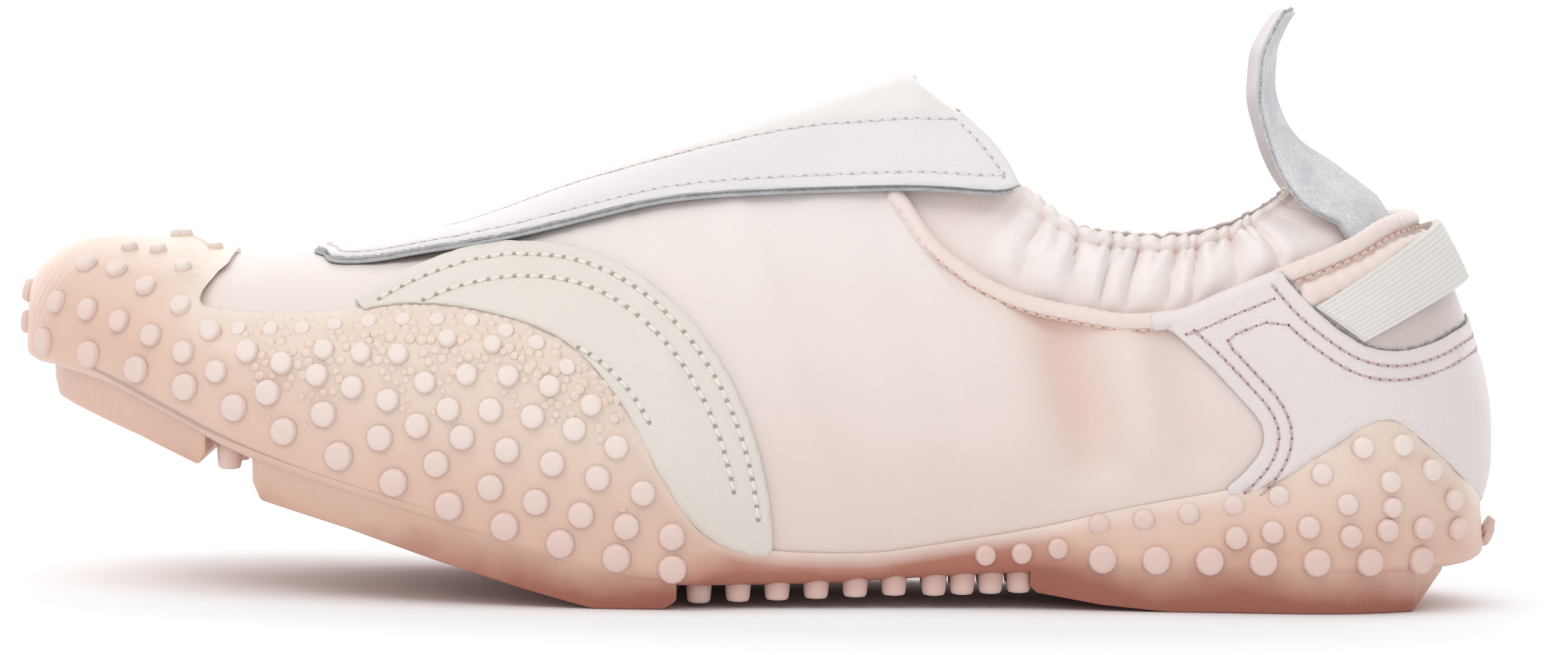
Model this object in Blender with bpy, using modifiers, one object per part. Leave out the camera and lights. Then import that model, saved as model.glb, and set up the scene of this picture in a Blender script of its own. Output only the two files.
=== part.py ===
"""Low slip-on sneaker, a left shoe: satin upper in a nubbed rubber cup sole.

The toe points along -X, the shoe's outer side faces -Y and +Z is up.  The origin
lies on the floor under the heel.  Sizes and tables are in millimetres, and MM turns
them into Blender's metres where a mesh is made.

Every layer of the upper comes from one function, skin(), which gives a point of the
last's surface.  u runs from toe (0) to heel (1).  v runs from the outer feather edge
(-1) over the ridge (0) to the inner feather edge (+1).  The lift is the distance from
the surface along its normal.
"""
import math
from collections import namedtuple

import bmesh
import bpy
import numpy as np
from mathutils import Matrix, Vector

MM = 0.001
OUTER, INNER = -1, 1            # the shoe's two sides, as the sign of Y

# ------------------------------------------------------------------ the last
TOE_TIP = -236.7                # foremost point of the satin, inside the rubber
HEEL_BACK = 39.2                # rearmost point of the heel curve
TOE_DEPTH = 24.0                # how far the toe's front leans back to the ridge
TOE_UPRIGHT = math.radians(20)  # section angle up to which the toe stands upright
TOE_ROUND_FROM = -165.0         # the plan narrows in a quarter ellipse from here
HEEL_ROUND_FROM = 5.0
FEATHER_TUCK = 0.07             # how much narrower the feather edge is than the side

Station = namedtuple("Station", "x half_width centre foot ridge base power")
LAST = (                        # base is the underside of the rubber between its treads
    Station(-236.7, 42.0, 9.5, 47.5, 61.3, 41.0, 2.40),
    Station(-225.0, 42.0, 8.7, 42.7, 61.3, 38.4, 2.40),
    Station(-214.0, 42.0, 7.6, 37.6, 61.5, 33.8, 2.40),
    Station(-200.0, 42.0, 6.0, 31.2, 62.5, 27.4, 2.40),
    Station(-186.0, 42.5, 4.2, 26.3, 63.1, 22.4, 2.40),
    Station(-172.0, 43.3, 2.7, 22.2, 63.8, 18.4, 2.38),
    Station(-158.0, 44.0, 1.2, 18.2, 66.7, 14.4, 2.34),
    Station(-150.0, 44.3, 0.4, 16.0, 69.6, 12.0, 2.30),
    Station(-135.0, 44.0, -1.1, 12.0, 75.8, 7.6, 2.24),
    Station(-118.0, 42.0, -2.5, 8.8, 81.7, 4.6, 2.16),
    Station(-100.0, 38.8, -3.5, 8.0, 87.5, 4.4, 2.08),
    Station(-84.0, 35.7, -3.7, 8.3, 92.8, 4.8, 2.02),
    Station(-68.0, 33.0, -3.4, 9.3, 98.5, 5.8, 2.00),
    Station(-50.0, 31.0, -2.5, 10.8, 104.4, 6.8, 2.00),
    Station(-30.0, 30.0, -1.2, 11.6, 109.0, 7.2, 2.04),
    Station(0.0, 30.0, -0.1, 12.4, 112.0, 7.2, 2.14),
    Station(39.2, 29.5, 0.4, 14.0, 112.0, 8.4, 2.20),
)

HeelRow = namedtuple("HeelRow", "z x")
HEEL_LINE = (
    HeelRow(14.0, 35.0), HeelRow(20.0, 37.6), HeelRow(28.0, 39.2), HeelRow(36.0, 39.0),
    HeelRow(42.0, 38.1), HeelRow(50.0, 35.9), HeelRow(60.0, 32.3), HeelRow(72.0, 26.0),
    HeelRow(85.0, 17.0), HeelRow(112.0, 0.0),
)

# ------------------------------------------------------------- layers and gaps
FIT = 0.4                       # between two curved pieces that touch
UPPER_WALL = 1.8
INSOLE_LIFT = -2.9              # its edge, inside the upper's wall
INSOLE_DEPTH = 3.0
PANEL_WALL = 1.2
PANEL_LIFT = FIT
TONGUE_LIFT = 0.4
TONGUE_FRONT = -165.0           # the satin flap starts here, under its border
FRAME_WALL = 1.3
WALL_EDGE_LIFT = 2.1            # the rubber's outside at its top edge
WALL_LIFT = 3.3                 # and lower down
WALL_TAPER = 9.0                # depth over which it thickens
WALL_FLARE = 1.6                # and near the floor, where it stands out
FLARE_HEIGHT = 12.0
FLOOR_DROP = 0.4                # the sole's inner floor below the feather edge
CORNER_RADIUS = 4.0             # where the sole's side turns under
CORNER_DROP = 2.8

# Grid lines that all layers share, so that their facets lie parallel.
LINES_ALONG = 32
LINES_ACROSS = 7
U_LINES = np.linspace(0.0, 1.0, LINES_ALONG + 1)
V_LINES = np.linspace(-1.0, 1.0, 2 * LINES_ACROSS + 1)

Span = namedtuple("Span", "u_first u_last v_first v_last")
FLAP_SPAN = Span(0.17, 0.70, -0.63, 0.63)       # the part of the last that a layer covers
PANEL_SPAN = Span(0.25, 0.60, 0.25, 1.0)        # before its outline is cut
COUNTER_SPAN = Span(0.62, 1.0, 0.24, 1.0)

SIDE_REACH = 90.0               # cutters run this far to either side of the shoe
CUT_TOP = 160.0                 # and up to here

# ------------------------------------------------ outlines seen from the side
SidePoint = namedtuple("SidePoint", "x z")
TOPLINE = (                     # centre of the rolled edge round the opening
    SidePoint(-126.0, 79.6), SidePoint(-98.0, 79.8), SidePoint(-82.0, 79.6),
    SidePoint(-75.4, 77.6), SidePoint(-71.2, 72.2), SidePoint(-68.0, 68.2),
    SidePoint(-63.6, 64.6), SidePoint(-58.0, 61.0), SidePoint(-50.0, 57.8),
    SidePoint(-40.0, 55.8), SidePoint(-31.0, 54.6), SidePoint(-22.0, 55.4),
    SidePoint(-12.0, 59.4), SidePoint(-2.0, 63.6), SidePoint(11.0, 69.0),
    SidePoint(20.0, 73.4), SidePoint(32.0, 74.8), SidePoint(60.0, 74.8),
)
WALL_EDGE = (                   # top edge of the rubber, from toe cap to heel
    SidePoint(-197.0, 90.0), SidePoint(-200.8, 64.4), SidePoint(-203.2, 60.0),
    SidePoint(-205.6, 56.4), SidePoint(-205.2, 54.0), SidePoint(-200.4, 53.2),
    SidePoint(-190.0, 53.0), SidePoint(-178.0, 54.0), SidePoint(-168.0, 55.8),
    SidePoint(-159.0, 56.0), SidePoint(-150.8, 55.0), SidePoint(-142.9, 53.2),
    SidePoint(-135.5, 50.0), SidePoint(-129.0, 44.4), SidePoint(-123.0, 36.2),
    SidePoint(-118.0, 27.2), SidePoint(-113.0, 19.2), SidePoint(-107.0, 13.8),
    SidePoint(-98.5, 11.2), SidePoint(-80.0, 10.6), SidePoint(-66.9, 12.2),
    SidePoint(-46.9, 15.6), SidePoint(-29.2, 19.7), SidePoint(-11.3, 23.2),
    SidePoint(-3.0, 26.0), SidePoint(7.3, 32.7), SidePoint(13.5, 36.8),
    SidePoint(17.2, 37.9), SidePoint(21.4, 36.9), SidePoint(30.5, 29.4),
    SidePoint(37.0, 23.2), SidePoint(40.0, 21.4), SidePoint(60.0, 20.6),
)
FRAME_LOWER = (                 # cut edge of the flap's leather border
    SidePoint(-184.3, 64.4), SidePoint(-183.4, 62.8), SidePoint(-179.6, 61.8),
    SidePoint(-173.9, 61.8), SidePoint(-166.4, 62.7), SidePoint(-149.1, 66.2),
    SidePoint(-131.8, 70.9), SidePoint(-119.0, 74.2), SidePoint(-105.8, 76.0),
    SidePoint(-86.6, 77.4), SidePoint(-70.0, 78.2), SidePoint(-56.2, 77.7),
    SidePoint(-51.6, 78.8),
)
FLAP_REAR = (                   # rear edge of the flap, from its corner to its peak
    SidePoint(-51.6, 78.8), SidePoint(-54.9, 84.4), SidePoint(-61.7, 92.1),
    SidePoint(-66.5, 98.0), SidePoint(-69.0, 104.0),
)
COUNTER_FRONT = (               # from the topline down to the rubber
    SidePoint(-23.6, 53.0), SidePoint(-22.1, 52.2), SidePoint(-15.8, 46.7),
    SidePoint(-9.5, 40.3), SidePoint(-6.2, 36.6), SidePoint(-5.0, 33.2),
    SidePoint(-6.2, 29.5), SidePoint(-9.4, 25.7), SidePoint(-11.8, 23.8),
)
COUNTER_NOTCH = (               # round the heel's low U, back to the topline
    SidePoint(60.0, 55.4), SidePoint(37.0, 54.4), SidePoint(27.2, 50.9),
    SidePoint(20.4, 49.4), SidePoint(14.2, 50.2), SidePoint(8.4, 53.6),
    SidePoint(2.6, 58.4), SidePoint(-2.4, 64.0),
)
MUDGUARD_CREST = SidePoint(-141.0, 66.5)
MUDGUARD_FRONT = SidePoint(-176.0, 55.1)
MUDGUARD_REAR = SidePoint(-97.0, 9.0)
EDGE_GAP = 0.55                 # between a panel and the rubber's edge, seen from the side

WindowRow = namedtuple("WindowRow", "x half_width")
FRAME_WINDOW = (                # where the flap's satin shows, seen from above
    WindowRow(-163.0, 0.6), WindowRow(-159.0, 2.4), WindowRow(-150.0, 4.4),
    WindowRow(-138.0, 6.6), WindowRow(-126.0, 8.0), WindowRow(-104.0, 8.9),
    WindowRow(-89.0, 10.6), WindowRow(-80.0, 12.4), WindowRow(-64.0, 14.6),
    WindowRow(-40.0, 16.0),
)

# ---------------------------------------------------------------- small pieces
ROLL_RADIUS = 1.4               # satin piping and bindings
ROLL_LIFT = -UPPER_WALL / 2
ROLL_GAP = 0.65                 # to the edges that lie along it, seen from the side
COLLAR_WALL = 1.2
COLLAR_LIFT = -2.8
COLLAR_HEEL_LIFT = -5.4         # further in, to leave room for the pull tab
COLLAR_LINE = 17                # the grid line at which it starts, under the flap
TAB_WALL = 1.7
TAB_ROOT_LIFT = -3.8
WEB_WALL = 1.4

CollarRow = namedtuple("CollarRow", "share x half_width z")
COLLAR_EDGE = (                 # the gathered edge, from under the flap to the heel
    CollarRow(0.00, -80.0, 10.0, 86.0),
    CollarRow(0.08, -66.0, 14.0, 83.5),
    CollarRow(0.16, -52.0, 17.0, 79.3),
    CollarRow(0.25, -38.0, 19.0, 70.6),
    CollarRow(0.33, -25.0, 18.5, 69.4),
    CollarRow(0.44, -14.0, 16.5, 70.8),
    CollarRow(0.58, -6.5, 12.0, 74.0),
    CollarRow(0.78, -1.2, 6.0, 77.2),
    CollarRow(1.00, 0.5, 0.0, 78.4),
)

TabRow = namedtuple("TabRow", "centre_x centre_z edge_x edge_z half_width")
TAB = (
    TabRow(17.0, 77.6, 9.2, 73.2, 17.0),
    TabRow(8.6, 83.6, 2.6, 76.6, 16.6),
    TabRow(2.0, 88.0, -1.6, 82.0, 15.6),
    TabRow(-1.6, 93.2, -4.4, 89.0, 15.0),
    TabRow(-3.2, 99.4, -6.2, 96.8, 15.0),
    TabRow(-2.9, 105.2, -5.9, 103.6, 14.4),
    TabRow(-1.2, 110.2, -3.8, 109.0, 12.6),
    TabRow(0.0, 113.2, -1.8, 112.4, 9.4),
)

WebEdge = namedtuple("WebEdge", "side_x side_z back_z")
WEB_TOP = WebEdge(3.6, 58.6, 72.0)
WEB_BOTTOM = WebEdge(13.0, 51.8, 61.2)
WEB_SIDE_LIFT = 0.5
WEB_BACK_LIFT = 2.6

TreadRow = namedtuple("TreadRow", "x z")
TREAD_FRONT = (
    TreadRow(-235.4, 38.0), TreadRow(-234.2, 35.0), TreadRow(-217.0, 29.0),
    TreadRow(-205.2, 24.2), TreadRow(-203.8, 26.4),
)
TREAD_MAIN = (
    TreadRow(-194.6, 21.6), TreadRow(-193.0, 18.2), TreadRow(-176.5, 13.7),
    TreadRow(-160.0, 8.4), TreadRow(-143.7, 3.6), TreadRow(-130.0, 0.0),
    TreadRow(-117.0, 0.0), TreadRow(-114.6, 1.6),
)
TREAD_HEEL = (
    TreadRow(-48.4, 4.4), TreadRow(-47.0, 3.2), TreadRow(-35.3, 1.2),
    TreadRow(-22.0, 0.0), TreadRow(24.5, 0.0), TreadRow(30.6, 7.4),
)
TREAD_INSET = 5.5               # tread blocks stand in from the feather edge
TREAD_DRAFT = 1.5

# Nubs: a row runs from x_first to x_last, its height through three values.
NubRow = namedtuple("NubRow", "x_first x_last count z_first z_middle z_last size")
NUB_ROWS = (
    NubRow(-236.6, -188.4, 6, 45.6, 40.4, 31.5, 2.5),
    NubRow(-177.9, -115.4, 7, 27.3, 15.2, 7.8, 2.6),
    NubRow(-234.0, -201.7, 6, 53.6, 49.4, 42.1, 2.1),
    NubRow(-191.6, -159.6, 4, 38.6, 33.0, 26.4, 2.4),
    NubRow(-149.4, -115.6, 5, 22.3, 17.6, 13.8, 2.4),
    NubRow(-228.6, -216.4, 3, 60.6, 59.8, 57.0, 2.0),
    NubRow(-221.0, -209.6, 3, 63.6, 63.4, 60.8, 1.6),
    NubRow(-209.2, -203.2, 2, 53.8, 51.8, 49.4, 2.0),
    NubRow(-195.8, -168.9, 5, 46.0, 42.2, 38.0, 2.1),
    NubRow(-163.3, -121.1, 6, 33.4, 28.2, 21.8, 2.3),
    NubRow(-181.2, -167.2, 3, 46.8, 46.4, 46.4, 1.9),
    NubRow(-157.5, -126.2, 5, 36.6, 35.6, 30.3, 2.2),
    NubRow(-162.0, -131.0, 5, 41.4, 43.0, 38.0, 2.0),
    NubRow(-158.0, -149.6, 2, 49.4, 49.2, 48.6, 1.7),
    NubRow(-57.0, -43.4, 3, 10.4, 10.8, 11.8, 1.9),
    NubRow(-35.0, 25.4, 7, 10.0, 10.0, 10.2, 2.6),
    NubRow(-35.7, -2.0, 5, 16.2, 18.6, 22.2, 2.0),
    NubRow(-10.0, 3.6, 3, 14.4, 15.6, 16.6, 2.1),
    NubRow(6.0, 21.2, 3, 26.6, 31.6, 32.0, 2.0),
    NubRow(10.8, 27.0, 3, 21.0, 25.2, 27.2, 2.0),
    NubRow(11.6, 39.6, 5, 15.0, 16.4, 14.6, 2.1),
    NubRow(19.4, 31.6, 2, 20.4, 20.8, 21.4, 1.9),
)
TOE_NUBS = (48.4, 56.6)         # heights of single nubs on the toe's and heel's middle
HEEL_NUBS = (13.2,)
END_NUB_SIZE = 2.2
NUB_HEIGHT = 2.2
NUB_ROOT = 1.4                  # how deep a nub is rooted in the rubber
NUB_TIP = 0.8                   # its end's radius as a share of its foot's
NUB_SIDES = 4

HangRow = namedtuple("HangRow", "x_first x_last count across tip_first tip_last")
HANGING_NUBS = (
    HangRow(-108.6, -54.6, 7, 4, 1.2, 3.6),
    HangRow(-199.4, -199.4, 1, 4, 23.4, 23.4),
)
HANG_SIZE = 2.3

# ------------------------------------------------------------------- materials
Finish = namedtuple("Finish", "colour roughness metallic")
FINISHES = {
    "satin": Finish((0.90, 0.74, 0.69), 0.38, 0.0),
    "rubber": Finish((0.80, 0.55, 0.44), 0.45, 0.0),
    "cream_leather": Finish((0.76, 0.74, 0.67), 0.55, 0.0),
    "pink_leather": Finish((0.82, 0.76, 0.75), 0.50, 0.0),
    "webbing": Finish((0.84, 0.83, 0.79), 0.85, 0.0),
    "suede": Finish((0.62, 0.64, 0.68), 0.95, 0.0),
    "foam": Finish((0.80, 0.70, 0.67), 0.90, 0.0),
}


# ------------------------------------------------------------------ 1-D curves
class Curve:
    """A smooth curve through the rows of a table, with no overshoot between them."""

    def __init__(self, rows, key, column):
        self.at = np.array([getattr(row, key) for row in rows], float)
        self.value = np.array([getattr(row, column) for row in rows], float)
        self.step = np.diff(self.at)
        rise = np.diff(self.value) / self.step
        slope = np.concatenate(([rise[0]], np.zeros(len(rise) - 1), [rise[-1]]))
        turning = rise[:-1] * rise[1:] > 0
        weight_a = 2 * self.step[1:] + self.step[:-1]
        weight_b = self.step[1:] + 2 * self.step[:-1]
        safe = np.where(turning, rise[:-1], 1.0), np.where(turning, rise[1:], 1.0)
        mean = (weight_a + weight_b) / (weight_a / safe[0] + weight_b / safe[1])
        slope[1:-1] = np.where(turning, mean, 0.0)
        self.slope = slope

    def __call__(self, at):
        at = np.clip(at, self.at[0], self.at[-1])
        i = np.clip(np.searchsorted(self.at, at, side="right") - 1, 0, len(self.step) - 1)
        h = self.step[i]
        t = (at - self.at[i]) / h
        return ((1 + 2 * t) * (1 - t) ** 2 * self.value[i]
                + t * (1 - t) ** 2 * h * self.slope[i]
                + t * t * (3 - 2 * t) * self.value[i + 1]
                + t * t * (t - 1) * h * self.slope[i + 1])


def smoothstep(t):
    t = np.clip(t, 0.0, 1.0)
    return t * t * (3 - 2 * t)


half_width_at = Curve(LAST, "x", "half_width")
centre_at = Curve(LAST, "x", "centre")
foot_at = Curve(LAST, "x", "foot")
ridge_at = Curve(LAST, "x", "ridge")
power_at = Curve(LAST, "x", "power")
base_at = Curve(LAST, "x", "base")
heel_line = Curve(HEEL_LINE, "z", "x")
topline_height = Curve(TOPLINE, "x", "z")


# ------------------------------------------------------------ the last's surface
def section(angle, power):
    """Width and height share of a superellipse at the given angle."""
    c, s = np.abs(np.cos(angle)), np.abs(np.sin(angle))
    r = (c ** power + s ** power) ** (-1.0 / power)
    return r * c, r * s


def toe_line(angle):
    share = np.clip((angle - TOE_UPRIGHT) / (math.pi / 2 - TOE_UPRIGHT), 0.0, 1.0)
    return TOE_TIP + TOE_DEPTH * (1 - np.cos(share * math.pi / 2))


def back_line(angle):
    end = LAST[-1]
    height = section(angle, end.power)[1]
    return heel_line(end.foot + (end.ridge - end.foot) * height)


def plan_half_width(x):
    toe = np.clip((x - TOE_ROUND_FROM) / (TOE_TIP - TOE_ROUND_FROM), 0.0, 1.0)
    heel = np.clip((x - HEEL_ROUND_FROM) / (HEEL_BACK - HEEL_ROUND_FROM), 0.0, 1.0)
    return half_width_at(x) * np.sqrt((1 - toe ** 2) * (1 - heel ** 2))


def skin_point(u, v):
    """A point of the last; past either end it carries on down the other side."""
    u, v = np.broadcast_arrays(np.asarray(u, float), np.asarray(v, float))
    beyond = (u < 0) | (u > 1)
    u = np.where(u < 0, -u, np.where(u > 1, 2 - u, u))
    v = np.clip(np.where(beyond, -v, v), -1.0, 1.0)
    angle = (1 - np.abs(v)) * math.pi / 2
    along = (1 - np.cos(math.pi * u)) / 2
    front = toe_line(angle)
    x = front + along * (back_line(angle) - front)
    wide, high = section(angle, power_at(x))
    nominal = TOE_TIP + along * (HEEL_BACK - TOE_TIP)
    reach = plan_half_width(nominal) * wide * (1 - FEATHER_TUCK * (1 - high) ** 3)
    y = centre_at(nominal) + np.sign(v) * reach
    z = foot_at(x) + (ridge_at(x) - foot_at(x)) * high
    return np.stack([x, y, z], axis=-1)


def skin_normal(u, v):
    du, dv = 2e-3, 4e-3
    u = np.clip(u, 0.01, 0.99)
    along = skin_point(u + du, v) - skin_point(u - du, v)
    across = skin_point(u, np.clip(v + dv, -1, 1)) - skin_point(u, np.clip(v - dv, -1, 1))
    normal = np.cross(along, across)
    return normal / np.linalg.norm(normal, axis=-1, keepdims=True)


def skin(u, v, lift=0.0):
    """A point at a distance from the last.  At the ends both sides share a normal."""
    u, v, lift = np.broadcast_arrays(*(np.asarray(a, float) for a in (u, v, lift)))
    near_end = np.clip(1 - np.minimum(u, 1 - u) / 0.01, 0.0, 1.0)[..., None] / 2
    normal = (1 - near_end) * skin_normal(u, v) + near_end * skin_normal(u, -v)
    normal /= np.linalg.norm(normal, axis=-1, keepdims=True)
    return skin_point(u, v) + normal * lift[..., None]


def locate(x, z):
    """The u and |v| of the surface point seen at x, z from the side."""
    power = power_at(x)
    high = np.clip((z - foot_at(x)) / (ridge_at(x) - foot_at(x)), 0.0, 1.0)
    wide = (1 - high ** power) ** (1 / power)
    angle = np.arctan2(high, wide)
    front = toe_line(angle)
    along = np.clip((x - front) / (back_line(angle) - front), 0.0, 1.0)
    return np.arccos(1 - 2 * along) / math.pi, 1 - angle / (math.pi / 2)


def topline_v(u):
    """|v| at which the line u crosses the topline, found by halving."""
    low, high = np.zeros_like(u), np.ones_like(u)
    for _ in range(40):
        middle = (low + high) / 2
        point = skin_point(u, middle)
        above = point[..., 2] > topline_height(point[..., 0])
        low, high = np.where(above, middle, low), np.where(above, high, middle)
    return (low + high) / 2


# ------------------------------------------------------------- 2-D outlines
def smooth_line(points, per_span=3):
    """A rounder polyline through the points (Catmull-Rom)."""
    p = np.array(points, float)
    padded = np.vstack([2 * p[0] - p[1], p, 2 * p[-1] - p[-2]])
    line = []
    for i in range(1, len(padded) - 2):
        a, b, c, d = padded[i - 1:i + 3]
        for t in np.arange(per_span) / per_span:
            line.append(0.5 * (2 * b + (c - a) * t + (2 * a - 5 * b + 4 * c - d) * t * t
                               + (3 * b - a - 3 * c + d) * t ** 3))
    line.append(p[-1])
    return np.array(line)


def offset_line(line, distance):
    """The line moved sideways: a positive distance moves it to its left."""
    tangent = np.gradient(line, axis=0)
    tangent /= np.linalg.norm(tangent, axis=1, keepdims=True)
    return line + distance * np.stack([-tangent[:, 1], tangent[:, 0]], axis=1)


def arc(centre, radius_x, radius_z, start, stop, count):
    angle = np.radians(np.linspace(start, stop, count))
    return np.stack([centre[0] + radius_x * np.cos(angle),
                     centre[1] + radius_z * np.sin(angle)], axis=1)


def wall_edge_line():
    return np.array(WALL_EDGE)


def wall_edge_height(x):
    """Height of the rubber's edge, with the toe cap's overhang left out."""
    rows = [SidePoint(-260.0, 75.0), SidePoint(-212.0, 72.0)]
    rows += [row for row in WALL_EDGE if row.x > -203 and row.z < 60]
    rows.sort()
    return Curve(rows, "x", "z")(x)


# ------------------------------------------------------------- Blender helpers
def clear_scene():
    for thing in list(bpy.data.objects):
        bpy.data.objects.remove(thing, do_unlink=True)


def new_collection(name):
    collection = bpy.data.collections.new(name)
    bpy.context.scene.collection.children.link(collection)
    return collection


def new_material(name, finish):
    material = bpy.data.materials.new(name)
    material.use_nodes = True
    shader = material.node_tree.nodes["Principled BSDF"]
    shader.inputs["Base Color"].default_value = (*finish.colour, 1.0)
    shader.inputs["Roughness"].default_value = finish.roughness
    shader.inputs["Metallic"].default_value = finish.metallic
    return material


def mesh_object(name, bm, collection, material=None):
    """Closes a bmesh made in millimetres into an object in metres."""
    bmesh.ops.remove_doubles(bm, verts=bm.verts, dist=0.002)
    bmesh.ops.recalc_face_normals(bm, faces=bm.faces)
    bmesh.ops.scale(bm, vec=(MM, MM, MM), verts=bm.verts)
    mesh = bpy.data.meshes.new(name)
    bm.to_mesh(mesh)
    bm.free()
    mesh.shade_smooth()
    mesh.set_sharp_from_angle(angle=math.radians(40))
    thing = bpy.data.objects.new(name, mesh)
    collection.objects.link(thing)
    if material:
        mesh.materials.append(material)
    return thing


def add_grid(bm, points, close_across=False, falling=False):
    """Joins a grid of points, shaped (along, across, 3), with triangles.

    All cells are split along the same diagonal, so that neighbouring layers keep
    parallel facets.  A grid whose v runs the other way has the falling diagonal.
    """
    verts = [[bm.verts.new(p) for p in row] for row in points]
    for row, after in zip(verts, verts[1:]):
        columns = len(row)
        for j in range(columns if close_across else columns - 1):
            k = (j + 1) % columns
            corners = (row[j], after[j], after[k], row[k])
            a, b, c, d = corners[1:] + corners[:1] if falling else corners
            bm.faces.new((a, b, c))
            bm.faces.new((a, c, d))
    return verts


def add_rim(bm, line, other):
    for a, b, c, d in zip(line, line[1:], other[1:], other):
        bm.faces.new((a, b, c, d))


def shell(name, outer, inner, collection, material=None, open_ends=False, falling=False):
    """A wall between two grids.  Its long edges get rims; its ends do if they are open."""
    bm = bmesh.new()
    top = add_grid(bm, outer, falling=falling)
    bottom = add_grid(bm, inner, falling=falling)
    for column in (0, -1):
        add_rim(bm, [row[column] for row in top], [row[column] for row in bottom])
    if open_ends:
        add_rim(bm, top[0], bottom[0])
        add_rim(bm, top[-1], bottom[-1])
    return mesh_object(name, bm, collection, material)


def bag(name, rings, collection, material=None):
    """A closed body from rings whose first and last have shrunk to a line."""
    bm = bmesh.new()
    add_grid(bm, rings, close_across=True, falling=True)
    return mesh_object(name, bm, collection, material)


def prism(name, outline, low, high, collection, axis=1):
    """A prism along Y (axis 1) or Z (axis 2) with the given outline, used to cut."""
    bm = bmesh.new()
    face = bm.faces.new([bm.verts.new(np.insert(point, axis, low)) for point in outline])
    moved = bmesh.ops.extrude_face_region(bm, geom=[face])["geom"]
    verts = [item for item in moved if isinstance(item, bmesh.types.BMVert)]
    bmesh.ops.translate(bm, verts=verts, vec=np.insert(np.zeros(2), axis, high - low))
    return cutter(mesh_object(name, bm, collection))


def cutter(thing):
    thing.hide_render = True
    thing.display_type = "WIRE"
    return thing


def combine(thing, other, operation, solver="EXACT"):
    step = thing.modifiers.new(operation.title(), "BOOLEAN")
    step.operation = operation
    step.object = other
    step.solver = solver


def tube(name, points, radius, collection, material):
    curve = bpy.data.curves.new(name, "CURVE")
    curve.dimensions = "3D"
    curve.bevel_depth = radius * MM
    curve.bevel_resolution = 2
    curve.use_fill_caps = True
    spline = curve.splines.new("POLY")
    spline.points.add(len(points) - 1)
    for knot, point in zip(spline.points, points):
        knot.co = (*(point * MM), 1.0)
    thing = bpy.data.objects.new(name, curve)
    collection.objects.link(thing)
    curve.materials.append(material)
    return thing


# ------------------------------------------------------------------- the sole
def foot_rim(u, side):
    """The feather edge and the level direction that points away from the shoe."""
    edge = skin_point(u, side)
    du = 2e-3
    run = skin_point(np.clip(u, 0, 1) + du, side) - skin_point(np.clip(u, 0, 1) - du, side)
    away = np.stack([-side * run[..., 1], side * run[..., 0], 0 * run[..., 2]], axis=-1)
    return edge, away / np.linalg.norm(away, axis=-1, keepdims=True)


def wall_lift(point):
    """The rubber is thin at its top edge and thickens below it."""
    depth = wall_edge_height(point[..., 0]) - point[..., 2]
    low = 1 - (point[..., 2] - foot_at(point[..., 0])) / FLARE_HEIGHT
    return (WALL_EDGE_LIFT + (WALL_LIFT - WALL_EDGE_LIFT) * smoothstep(depth / WALL_TAPER)
            + WALL_FLARE * smoothstep(low) * smoothstep(depth / WALL_TAPER))


def wall_point(u, v):
    return skin(u, v, wall_lift(skin_point(u, v)))


def corner_point(u, side, turn):
    """The rounded corner under the wall, from its side (0) to the bottom (1)."""
    start = wall_point(u, side)
    away = foot_rim(u, side)[1]
    angle = np.asarray(turn) * math.pi / 2
    point = start - away * (CORNER_RADIUS * (1 - np.cos(angle)))[..., None]
    point[..., 2] = base_at(start[..., 0]) + CORNER_DROP * (1 - np.sin(angle))
    return point


def sole_rings():
    """Rings round the whole shoe: over the ridge, down a side, under and back up."""
    v = np.linspace(0.0, 1.0, LINES_ACROSS + 1)
    u = U_LINES[:, None]
    sides = []
    for side in (OUTER, INNER):
        wall = wall_point(u, side * v[None, :])
        corner = corner_point(u, side, np.array([[0.0, 0.55, 1.0]]) + 0 * u)
        sides.append(np.concatenate([wall, corner], axis=1))
    share = np.linspace(0.0, 1.0, 4)[1:-1][None, :, None]
    under = sides[0][:, -1:] * (1 - share) + sides[1][:, -1:] * share
    under[..., 2] = base_at(under[..., 0])
    return np.concatenate([sides[0], under, sides[1][:, :0:-1]], axis=1)


def cavity_rings():
    """The space for the upper, over a level floor."""
    v = np.linspace(0.0, 1.0, LINES_ACROSS + 1)
    u = U_LINES[:, None]
    sides = []
    for side in (OUTER, INNER):
        wall = skin(u, side * v[None, :], FIT)
        edge, away = foot_rim(u, side)
        corner = edge + FIT * away - [0.0, 0.0, FLOOR_DROP]
        sides.append(np.concatenate([wall, corner], axis=1))
    share = np.linspace(0.0, 1.0, 4)[1:-1][None, :, None]
    floor = sides[0][:, -1:] * (1 - share) + sides[1][:, -1:] * share
    return np.concatenate([sides[0], floor, sides[1][:, :0:-1]], axis=1)


def tread_block(name, profile, collection):
    """A block under the sole, its sides drawn in a little towards the floor."""
    x = np.array([row.x for row in profile])
    z = np.array([row.z for row in profile])
    x_fine = np.unique(np.concatenate([x, np.linspace(x[0], x[-1], 9)]))
    z_fine = np.interp(x_fine, x, z)
    u = locate(np.minimum(x_fine, HEEL_BACK - 5), foot_at(x_fine))[0]
    rings = []
    for i, (x_i, z_i) in enumerate(zip(x_fine, z_fine)):
        top = base_at(x_i) + 1.2
        corners = []
        for side in (OUTER, INNER):
            edge, away = foot_rim(u[i], side)
            level = edge - TREAD_INSET * away
            corners.append(((x_i, level[1], top), (x_i, level[1] - side * TREAD_DRAFT, z_i)))
        (top_out, low_out), (top_in, low_in) = corners
        rings.append([top_out, low_out, low_in, top_in])
    bm = bmesh.new()
    verts = add_grid(bm, np.array(rings), close_across=True)
    bm.faces.new(verts[0])
    bm.faces.new(verts[-1])
    return cutter(mesh_object(name, bm, collection))


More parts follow.
